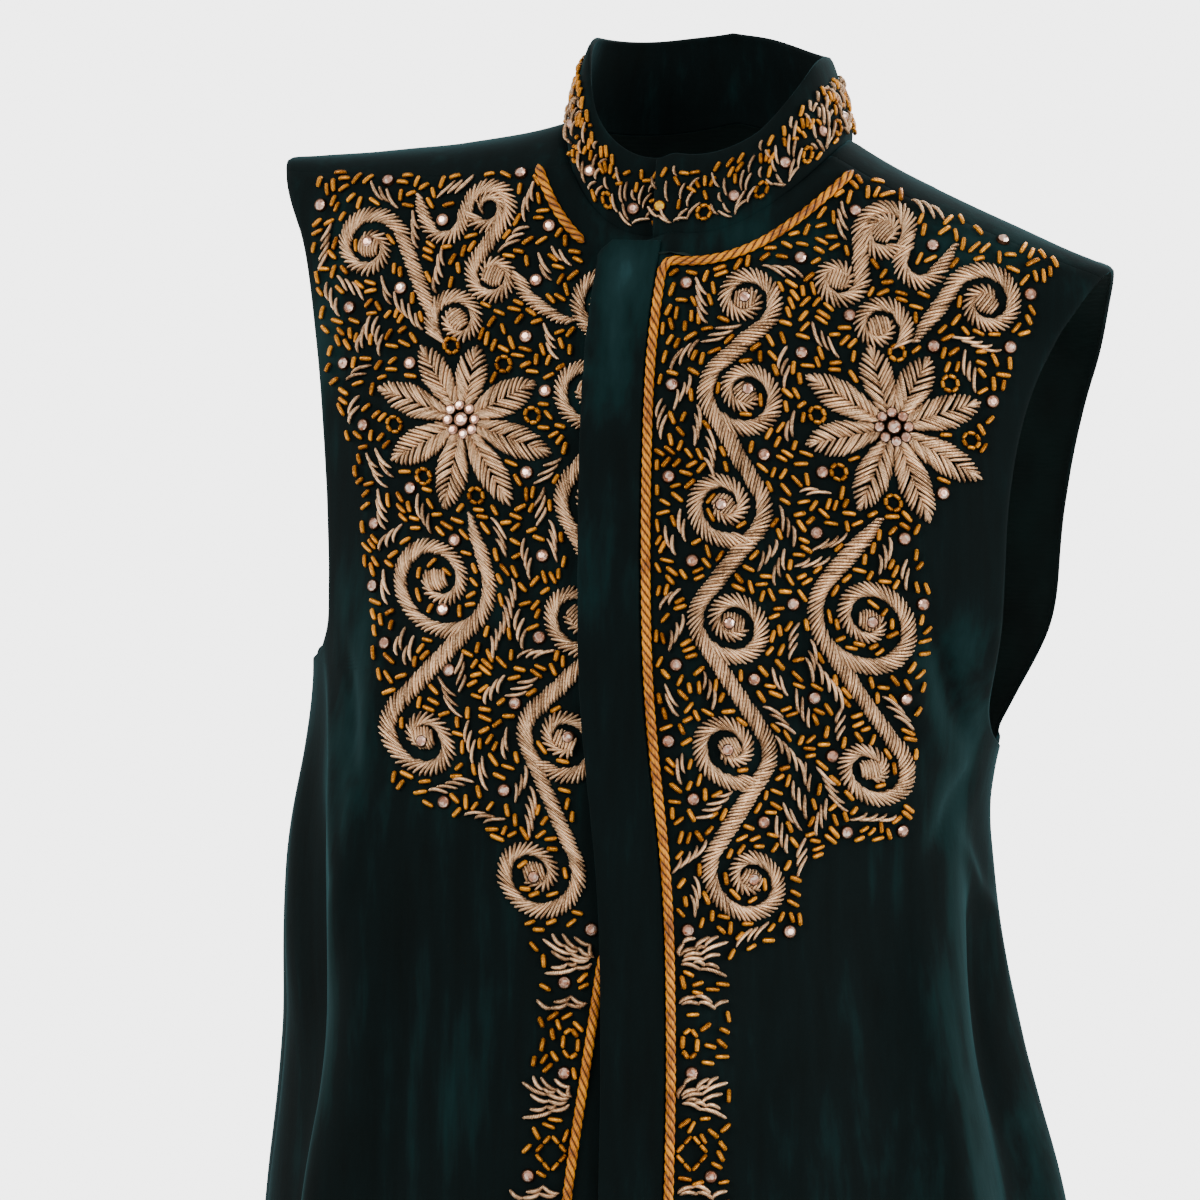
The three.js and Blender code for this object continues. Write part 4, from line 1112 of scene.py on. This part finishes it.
def layFlower(bm, side, rng):
    cx, cz, first = flowers[side]
    root, reach = flowerShape["root"], flowerShape["reach"]
    for k in range(flowerShape["petals"]):
        turned = radians(first + 360 / flowerShape["petals"] * k + rng.uniform(-3, 3))
        long = reach * (1.05 - 0.17 * clamp(sin(turned)) ** 3) * rng.uniform(0.98, 1.03)

        def at(far, out):
            return (cx + cos(turned) * far - sin(turned) * out,
                    cz + sin(turned) * far + cos(turned) * out)

        end = root + 3
        while end < long:
            for hand in (1, -1):
                out = between(petalMarks, (end - root) / (long - root)) + rng.uniform(-0.5, 0.5)
                back = max(out / tan(radians(flowerShape["slant"] + rng.uniform(-3, 3))), 7)
                layStrand(bm, side, "petal", at(max(end - back, root - 3), -hand * 0.5), at(end, hand * out),
                          flowerShape["thick"] * rng.uniform(0.92, 1.05), flowerShape["height"])
            end += flowerShape["pitch"]
        layStrand(bm, side, "petal", at(long - 8, 0), at(long, 0), 2.1, 2.6)
        for far in range(int(root), int(long), 4):
            addInk(side, *at(far, 0), between(petalMarks, (far - root) / (long - root)) + 0.6)
    addInk(side, cx, cz, 11)


def makeVines():
    for side, name in ((1, "Left"), (-1, "Right")):
        rng = random.Random(40 + side)
        bm = bmesh.new()
        for group in vines[side]:
            for k, line in enumerate(group):
                layVine(bm, side, line, 0 if k == 0 else 3, rng)
        layVine(bm, side, curlLine(besideFlower[side], besideStart[side]), 0, rng)
        for x, z, radius, _turn, curl in curls[side] + [besideFlower[side]]:
            if curl > 0 and radius > bud["least"]:
                layBud(bm, side, x, z, rng)
        if side < 0:
            layVine(bm, side, shoulderTail, 0, rng)
        nodes = [kind + "_vine_" + name.lower() for kind in ("inner", "lower", "upper", "shoulder")]
        addPiece("bullionVines" + name, bm, [bullion], nodes)
        bm = bmesh.new()
        layFlower(bm, side, rng)
        addPiece("bullionFlower" + name, bm, [bullion], ["flower_" + name.lower()])


makeVines()
print("vines and flowers laid")


# The ground of the embroidery: sprigs, rings and small checks scattered over each front's field, and set
# stones
fieldEdge = {      # height and how far the field reaches from the centre line
    1: [(-720, 31), (-405, 30), (-396, 46), (-388, 66), (-358, 68), (-342, 88), (-338, 123), (-264, 131),
        (-214, 138), (-190, 128), (-172, 136), (-148, 156), (-113, 167), (-55, 182), (-20, 190)],
    -1: [(-720, 86), (-518, 72), (-470, 69), (-440, 64), (-404, 62), (-395, 68), (-364, 76), (-352, 77),
         (-342, 100), (-334, 128), (-302, 127), (-272, 136), (-221, 146), (-178, 152), (-146, 167),
         (-108, 178), (-51, 186), (-20, 190)],
}
field = {      # what is laid at most, and how many places are tried for it
    "stones": 46, "stoneTries": 2600, "stoneGap": 27, "sprigs": 26, "sprigTries": 3500,
    "checks": 900, "tries": 70000, "checkLong": 6.2, "checkWide": 2.5, "checkHigh": 2.3, "checkRoom": 1.6,
}
heart = {"stones": 8, "reach": 6.9, "lift": 2.6, "rings": 36}      # of a flower; its rings lie further out


def inField(side, x, z, margin=3.0):
    out = side * x
    if out > between(fieldEdge[side], z) - margin or z < hemZ + 6:
        return False
    inner = side * rightCord(z) if side < 0 else 0
    if side < 0 and z > -400:
        inner = max(inner, 36)      # the rest lies under the left front
    if out < inner + 3 + margin:
        return False
    reach = form["neckHalf"] + placket["neckDrop"]
    if out < reach:
        facing = sqrt(1 - (out / reach) ** 2)
        if z > ridge(x) - (form["neckFront"] + 1.1 * placket["neckDrop"]) * facing ** 1.7 - 3 - margin:
            return False
    neck, tip = seamDrop[side]
    seam = lerp(neck, tip, clamp((out - form["neckHalf"]) / 135))
    return z < ridge(x) - seam + 1 and out < armFront(z) - 6


def makeStone():
    # Rhinestone: cut glass backed with foil, pale rose, so every facet is a small mirror
    material, tree, coords = newMaterial("foiledRoseGlass")
    # painted reflections: cells of paler and darker rose stand in for facets catching the light
    cut = addNode(tree, "TexVoronoi", {"Scale": 620.0}, {"Vector": coords["Object"]})
    tone = addNode(tree, "ValToRGB", {"stops": [(0.2, "#a8735c"), (0.55, "#dba98f"), (0.9, "#ffe6d6")]},
                   {"Fac": cut.outputs["Color"]})
    shader = addNode(tree, "BsdfPrincipled", {
        "Metallic": 0.55, "Roughness": 0.09, "IOR": 1.52, "Coat Weight": 0.6, "Coat Roughness": 0.03,
    }, {"Base Color": tone.outputs["Color"]})
    finishMaterial(tree, shader)
    return material


def makeAmberBead():
    # Yellow glass bead, moulded and fire-polished: clear colour with one bright highlight
    material, tree, coords = newMaterial("amberGlassBead")
    cloudy = addNode(tree, "TexNoise", {"Scale": 500.0}, {"Vector": coords["Object"]})
    tone = addNode(tree, "ValToRGB", {"stops": [(0.35, "#b87804"), (0.65, "#f2c21c")]},
                   {"Fac": cloudy.outputs["Fac"]})
    shader = addNode(tree, "BsdfPrincipled", {"Roughness": 0.15, "IOR": 1.52},
                     {"Base Color": tone.outputs["Color"]})
    finishMaterial(tree, shader)
    return material


stoneGlass = makeStone()
amberGlass = makeAmberBead()


def stoneMesh():
    bm = bmesh.new()
    bmesh.ops.create_cone(bm, cap_ends=True, segments=9, radius1=2.9, radius2=1.5, depth=1.5,
                          matrix=Matrix.Translation((0, 0, 1.75)))
    made = bmesh.ops.create_cone(bm, cap_ends=True, segments=12, radius1=3.5, radius2=3.0, depth=1.3,
                                 matrix=Matrix.Translation((0, 0, 0.65)))
    for face in {f for v in made["verts"] for f in v.link_faces}:
        face.material_index = 1
    bmesh.ops.delete(bm, geom=[f for f in bm.faces if f.normal.z < -0.9], context="FACES_ONLY")
    mesh = bpy.data.meshes.new("stoneTemplate")
    bm.to_mesh(mesh)
    bm.free()
    return mesh


stoneTemplate = stoneMesh()


def addStone(bm, point, normal, turn, size=1.0):
    seat = normal.to_track_quat("Z", "Y").to_matrix().to_4x4() @ Matrix.Rotation(turn, 4, "Z")
    copy = stoneTemplate.copy()
    copy.transform(Matrix.Translation(point * 0.001) @ seat @ Matrix.Scale(0.001 * size, 4))
    bm.from_mesh(copy)
    bpy.data.meshes.remove(copy)


def layRing(bm, side, x, z, wide, high, turn, rng, count=6, thick=2.2):
    for k in range(count):
        a, b = (turn + 2 * pi * (k + d) / count for d in (0.06, 0.94))
        layStrand(bm, side, "check", (x + wide * cos(a), z + high * sin(a)),
                  (x + wide * cos(b), z + high * sin(b)), thick * rng.uniform(0.9, 1.1), 2.3)
    for end in (-1, 0, 1):      # an oval keeps only its own width free
        addInk(side, x, z + end * (high - wide), wide + 0.8)


def laySprig(bm, side, x, z, toward, count, rng):      # slender strands, staggered like a leaf
    lean = rng.choice((-1, 1)) * radians(rng.uniform(3, 13))
    for k in range(count):
        place = k - (count - 1) / 2
        run, off = place * sprig["step"], -place * sprig["aside"] * (1 if lean > 0 else -1)
        cx = x + cos(toward) * run - sin(toward) * off
        cz = z + sin(toward) * run + cos(toward) * off
        slant = toward + lean + radians(rng.uniform(-4, 4))
        half = sprig["long"] / 2 * rng.uniform(0.8, 1.12)
        layStrand(bm, side, "slim", *strandEnds(cx, cz, slant, half), sprig["wide"] * rng.uniform(0.9, 1.1),
                  sprig["height"])
    for run in (-7, -2.5, 2.5, 7):
        addInk(side, x + cos(toward) * run, z + sin(toward) * run, 2.4)


def sprigFits(side, x, z, toward, reach=1.8):
    spots = [(x + cos(toward) * run, z + sin(toward) * run) for run in (-8, -4, 0, 4, 8)]
    return all(inField(side, px, pz, 1.5) and isFree(side, px, pz, reach) for px, pz in spots)


sprayArms = [
    ((0.6, 1), (3, 7.5), (9.5, 10.5)), ((2, 2.4), (9, 5.6), (15.5, 11)), ((2.5, 0.8), (13, 3), (24.5, 8.5)),
    ((8.5, 4), (14.5, 6), (20, 11.5)), ((3, -0.6), (12.5, -0.4), (21.5, 2.6)),
    ((2.4, -1.8), (11, -4.6), (24, -8)), ((8, -1.8), (14, -3), (21, -4.4)),
]


def laySpray(bm, side, x, z, rng):      # a leafy fan from one root, its upper strands curling up
    for points in sprayArms:
        a, b, c = [(x + side * (u + rng.uniform(-0.7, 0.7)), z + v + rng.uniform(-0.6, 0.6))
                   for u, v in points]
        layStrand(bm, side, "slim", a, b, 2.3, 2.5)
        layStrand(bm, side, "slim", (lerp(b[0], c[0], -0.12), lerp(b[1], c[1], -0.12)), c, 2.2, 2.3)
        for (ax, az), (bx, bz) in ((a, b), (b, c)):
            for t in (0, 0.5, 1):
                addInk(side, lerp(ax, bx, t), lerp(az, bz, t), 1.9)


waveStrands = [
    ((0.5, 0), (9, 3.4)), ((8, 3.6), (16.5, 0.2)), ((1.5, -0.4), (10.5, -0.2)), ((9.5, 0.6), (18, -2.6)),
    ((17, -2.6), (24.5, 1.2)),
]


def layWave(bm, side, x, z):      # strands end to end that cross in a shallow wave
    for a, b in waveStrands:
        layStrand(bm, side, "slim", (x + side * a[0], z + a[1]), (x + side * b[0], z + b[1]), 2.3, 2.4)
    for far in (2, 7, 12, 17, 22):
        addInk(side, x + side * far, z, 3.1)


def layDiamond(bm, side, x, z):      # two checks to each side
    corners, swell = [(7.2, 0), (0, 8.2), (-7.2, 0), (0, -8.2), (7.2, 0)], 1.06
    for (ax, az), (bx, bz) in zip(corners, corners[1:]):
        for span in ((0.06, 0.48), (0.52, 0.94)):
            a, b = ((x + lerp(ax, bx, t) * swell, z + lerp(az, bz, t) * swell) for t in span)
            layStrand(bm, side, "check", a, b, 2.2, 2.2)
    addInk(side, x, z, 7)


# Motifs of the border beside each cord: kind, how far down from the start, how far out from the cord
border = {"top": -403, "repeat": 132}
borderMotifs = [("spray", 0, 0), ("stone", -14, 9), ("wave", 21, 0), ("oval", 40, 9), ("stone", 54, 10),
                ("spray", 67, 0), ("diamond", 92, 10.5), ("stone", 103, 20), ("wave", 111, 0)]


def layBorder(checks, sprigs, stones, side, rng):
    z = border["top"]
    while z > hemZ:
        for kind, down, out in borderMotifs:
            at = z - down
            if at < hemZ + 14:
                continue
            edge = 0 if side > 0 else rightCord(at)
            if kind == "spray":
                laySpray(sprigs, side, edge + side * 3.2, at, rng)
            elif kind == "wave":
                layWave(sprigs, side, edge + side * 3.4, at)
            elif kind == "oval":
                layRing(checks, side, edge + side * out, at, 3.9, 7.0, 0.4, rng, 6, 2.5)
            elif kind == "diamond":
                layDiamond(checks, side, edge + side * out, at)
            else:
                stones.append((edge + side * out, at, 1.0, 0.2))
        z -= border["repeat"]


def scatter(side, rng):
    checks, sprigs = bmesh.new(), bmesh.new()
    stones = []
    cx, cz, first = flowers[side]
    for k in range(flowerShape["petals"]):      # rings in the gaps between the petals
        turned = radians(first + 360 / flowerShape["petals"] * (k + 0.5))
        x, z = cx + heart["rings"] * cos(turned), cz + heart["rings"] * sin(turned)
        if inField(side, x, z, 1) and k % 4 != 1:
            layRing(checks, side, x, z, 3.9, 3.9, turned, rng)
    for k in range(heart["stones"]):
        turned = radians(360 / heart["stones"] * k + 10)
        x, z = cx + heart["reach"] * cos(turned), cz + heart["reach"] * sin(turned)
        stones.append((x, z, 0.86, heart["lift"]))
    stones.append((cx, cz, 1.15, heart["lift"]))
    layBorder(checks, sprigs, stones, side, rng)
    for x, z, radius, turn, curl in curls[side]:      # a stone on the head of most curls
        if inField(side, x, z, 0) and radius > 14 and rng.random() < 0.75:
            stones.append((x + rng.uniform(-2, 2), z + rng.uniform(-2, 2), 0.95, 2.9))
            addInk(side, x, z, 3.4)
    for x, z, *_rest in stones:
        addInk(side, x, z, 3.6)
    for group in vines[side]:      # sprigs grow beside the stems
        for line in group[:1]:
            stations = resample(line, 13)
            for k in range(1, len(stations) - 1):
                (ax, az, _), (x, z, wide), (bx, bz, _) = stations[k - 1:k + 2]
                along = atan2(bz - az, bx - ax)
                for hand in (1, -1):
                    out = 10.5 + rng.uniform(-0.5, 1.5)
                    px, pz = x - sin(along) * hand * out, z + cos(along) * hand * out
                    toward = along + hand * radians(rng.uniform(8, 34))
                    if rng.random() < 0.6 and sprigFits(side, px, pz, toward):
                        laySprig(sprigs, side, px, pz, toward, rng.choice((3, 3, 4)), rng)
    low, high = (0, 190) if side > 0 else (-190, -30)
    placed = 0
    for _ in range(field["stoneTries"]):
        x, z = rng.uniform(low, high), rng.uniform(-415, -22)
        if placed < field["stones"] and inField(side, x, z, 4) and isFree(side, x, z, 2.4):
            if all(dist((x, z), other[:2]) > field["stoneGap"] for other in stones):
                stones.append((x, z, 1.0, 0.2))
                addInk(side, x, z, 4.0)
                placed += 1
    placed = 0
    for _ in range(field["sprigTries"]):
        x, z, toward = rng.uniform(low, high), rng.uniform(-410, -22), radians(rng.gauss(90, 38))
        if placed < field["sprigs"] and sprigFits(side, x, z, toward, 2.6):
            laySprig(sprigs, side, x, z, toward, rng.choice((2, 3, 3)), rng)
            placed += 1
    placed = 0
    for n in range(field["tries"]):
        x, z = rng.uniform(low, high), rng.uniform(-418, -20) if n % 5 else rng.uniform(hemZ, -395)
        slant = radians(rng.uniform(0, 180))
        half = field["checkLong"] / 2 * rng.uniform(0.85, 1.15)
        dx, dz = cos(slant) * half, sin(slant) * half
        spots = [(x + dx * t, z + dz * t) for t in (-0.75, 0, 0.75)]
        if placed < field["checks"] and all(inField(side, *spot, 1.2) and isFree(side, *spot, 1.2)
                                            for spot in spots):
            layStrand(checks, side, "check", (x - dx, z - dz), (x + dx, z + dz),
                      field["checkWide"] * rng.uniform(0.88, 1.08), field["checkHigh"])
            for spot in spots:
                addInk(side, *spot, field["checkRoom"])
            placed += 1
    name = "Left" if side > 0 else "Right"
    addPiece("checkWork" + name, checks, [checkGold])
    addPiece("sprigWork" + name, sprigs, [bullion])
    bm = bmesh.new()
    for x, z, size, lift in stones:
        addStone(bm, frontPoint(x, z, side > 0, lift), panelNormal(x, z), rng.uniform(0, 3), size)
    addPiece("stones" + name, bm, [stoneGlass, bullion], rounded=False)
    print(name, "field:", placed, "checks,", len(stones), "stones")


scatter(1, random.Random(11))
scatter(-1, random.Random(23))


# The collar's embroidery: sprays about a stone, and fans of checks over rings between them, on its lower part
collarWork = {      # millimetres along and up the collar
    "spacing": 31, "stoneHigh": 12, "low": 4, "top": 31, "tries": 5200, "half": 2.7,
    "fanHigh": 17, "fan": (5, 10.5), "ringHigh": 9, "ring": 3.7, "slim": 1.6,
}
collarArms = [
    ((1.5, 4.5), (6.5, 12.5)), ((6, 12), (8.5, 21)), ((8, 20.5), (12, 28)), ((3.5, 15), (4.5, 25)),
    ((0.5, 4), (8, 7.5)), ((7.5, 7), (12.5, 13.5)),
]
collarInk = []


def collarSeat(around, high):
    level = high / lerp(collar["front"], collar["back"], (1 - cos(radians(around))) / 2)
    return collarPoint(around, level, collarWave(around, level)), level


def collarNormal(around, high):
    a, b = collarSeat(around - 1, high)[0], collarSeat(around + 1, high)[0]
    up = collarSeat(around, high + 2)[0] - collarSeat(around, high)[0]
    return (b - a).cross(up).normalized()


def collarScale(around):      # millimetres to a degree
    return (collarBase(around + 1)[0] - collarBase(around - 1)[0]).length / 2


def collarStrand(bm, kind, around, scale, a, b, wide, tall):      # places are mm along and up the collar
    p, q = (collarSeat(around + end[0] / scale, end[1])[0] for end in (a, b))
    normal = collarNormal(around + (a[0] + b[0]) / 2 / scale, (a[1] + b[1]) / 2)
    addStrand(bm, kind, p, q, normal, wide, tall, 0.1)


def makeCollarWork():
    rng = random.Random(5)
    checks, sprigs, stones, bead = bmesh.new(), bmesh.new(), bmesh.new(), bmesh.new()
    run = []      # millimetres round the collar for each degree
    total = 0.0
    for around in range(-6, 361):
        run.append(total)
        total += (collarBase(around + 1)[0] - collarBase(around)[0]).length

    def degreeAt(far):
        k = max(i for i in range(len(run)) if run[i] <= far)
        return -6 + k + (far - run[k]) / ((run[k + 1] if k + 1 < len(run) else total) - run[k])

    def free(far, high, reach):
        return all((far - x) ** 2 + (high - y) ** 2 > (reach + r) ** 2 for x, y, r in collarInk)

    motifs = round(total / collarWork["spacing"])
    step = total / motifs
    for k in range(motifs):
        far = step * (k + 0.3)
        around = degreeAt(far)
        scale = collarScale(around)
        high = collarWork["stoneHigh"] + rng.uniform(-1.5, 2)
        seat = around if k else -4.4      # the first is a yellow bead near the collar's open end
        place, normal = collarSeat(seat, high)[0], collarNormal(seat, high)
        addStone(stones if k else bead, place, normal, rng.uniform(0, 3), 0.95)
        collarInk.append((far if k else 3, high, 3.6))
        for hand in (1, -1):
            for a, b in collarArms:
                if rng.random() < 0.88:
                    jitter = lambda p: (hand * (p[0] + rng.uniform(-0.9, 0.9)), p[1] + rng.uniform(-1, 1))
                    a, b = jitter(a), jitter(b)
                    collarStrand(sprigs, "slim", around, scale, a, b, collarWork["slim"], 2.0)
                    for t in (0.1, 0.5, 0.9):
                        collarInk.append((far + lerp(a[0], b[0], t), lerp(a[1], b[1], t), 1.5))
        middle = degreeAt(min(far + step / 2, total - 1))
        if k < motifs - 1:
            for slant in (30, 60, 90, 120, 150):
                if rng.random() < 0.85:
                    c, s, up = cos(radians(slant)), sin(radians(slant)), collarWork["fanHigh"]
                    a, b = ((c * out, up + s * out) for out in collarWork["fan"])
                    collarStrand(checks, "check", middle, scale, a, b, 2.2, 2.2)
                    collarInk.append((far + step / 2 + c * 7.5, up + s * 7.5, 2.8))
            wide, up = collarWork["ring"], collarWork["ringHigh"]
            for n in range(6):
                turns = (2 * pi * (n + d) / 6 for d in (0.06, 0.94))
                a, b = ((wide * cos(t), up + wide * sin(t)) for t in turns)
                collarStrand(checks, "check", middle, scale, a, b, 2.1, 2.2)
            collarInk.append((far + step / 2, up, 5.2))
    for _ in range(collarWork["tries"]):
        far, high = rng.uniform(3, total - 4), rng.uniform(collarWork["low"], collarWork["top"])
        if free(far, high, 1.9):
            around = degreeAt(far)
            a, b = strandEnds(0, high, radians(rng.gauss(90, 40)), collarWork["half"])
            slim = (sprigs, "slim", collarWork["slim"])
            bm, kind, wide = (checks, "check", 2.2) if rng.random() < 0.7 else slim
            collarStrand(bm, kind, around, collarScale(around), a, b, wide, 2.1)
            collarInk.append((far, high, 2.4))
    addPiece("collarChecks", checks, [checkGold])
    addPiece("collarSprays", sprigs, [bullion])
    addPiece("collarStones", stones, [stoneGlass, bullion], rounded=False)
    addPiece("collarBead", bead, [amberGlass, checkGold], rounded=False)


makeCollarWork()
print("embroidery laid")


# The stage: plain pale floor, pale surroundings and soft studio light
studio = {      # metres, and the strength of the surroundings as light and as seen
    "floorZ": -0.7215, "floorRadius": 1.35, "world": "#f2f2f2", "worldStrength": 0.8, "backdrop": 4.95,
}
lights = {      # place, target, size and power of each
    "keyLight": ((-1.5, -2.4, 1.3), (0, 0, -0.3), (1.4, 1.4), 60),
    "fillLight": ((2.0, -1.6, 0.4), (0, 0, -0.3), (1.2, 1.8), 30),
    "leftSideLight": ((-2.3, 0.1, 0.5), (0, 0, -0.1), (0.9, 1.2), 28),
    "rightSideLight": ((2.3, 0.3, 0.1), (0, 0, -0.35), (0.9, 1.9), 45),
    "rimLight": ((0.6, 2.2, 1.4), (0, 0, -0.2), (1.6, 1.0), 40),
}


def makeStage():
    material, tree, coords = newMaterial("paleFloorPaint")      # matt painted board
    mottle = addNode(tree, "TexNoise", {"Scale": 6.0, "Detail": 3}, {"Vector": coords["Object"]})
    tone = addNode(tree, "ValToRGB", {"stops": [(0.3, "#e4e4e4"), (0.7, "#ebebeb")]},
                   {"Fac": mottle.outputs["Fac"]})
    shader = addNode(tree, "BsdfPrincipled", {"Roughness": 0.8}, {"Base Color": tone.outputs["Color"]})
    finishMaterial(tree, shader)
    bm = bmesh.new()
    bmesh.ops.create_circle(bm, cap_ends=True, segments=96, radius=studio["floorRadius"])
    bmesh.ops.translate(bm, verts=bm.verts, vec=(0, 0, studio["floorZ"]))
    makeObject("paleFloor", bm, [material], False)
    world = bpy.data.worlds.new("paleSurroundings")
    bpy.context.scene.world = world
    world.use_nodes = True
    tree = world.node_tree
    tree.nodes.clear()
    seen = addNode(tree, "Background", {"Color": srgb(studio["world"]), "Strength": studio["backdrop"]})
    lit = addNode(tree, "Background", {"Color": srgb(studio["world"]), "Strength": studio["worldStrength"]})
    path = addNode(tree, "LightPath")
    mixed = addNode(tree, "MixShader", links={0: path.outputs["Is Camera Ray"], 1: lit.outputs["Background"],
                                                        2: seen.outputs["Background"]})
    addNode(tree, "OutputWorld", links={"Surface": mixed.outputs["Shader"]})


def softLight(name, place, target, size, power):
    data = bpy.data.lights.new(name, "AREA")
    data.shape = "RECTANGLE"
    data.size, data.size_y = size
    data.energy = power
    light = bpy.data.objects.new(name, data)
    bpy.context.scene.collection.objects.link(light)
    light.location = place
    light.rotation_mode = "QUATERNION"
    light.rotation_quaternion = (Vector(target) - Vector(place)).to_track_quat("-Z", "Y")


makeStage()
for lightName, settings in lights.items():
    softLight(lightName, *settings)
print("stage and lights ready")
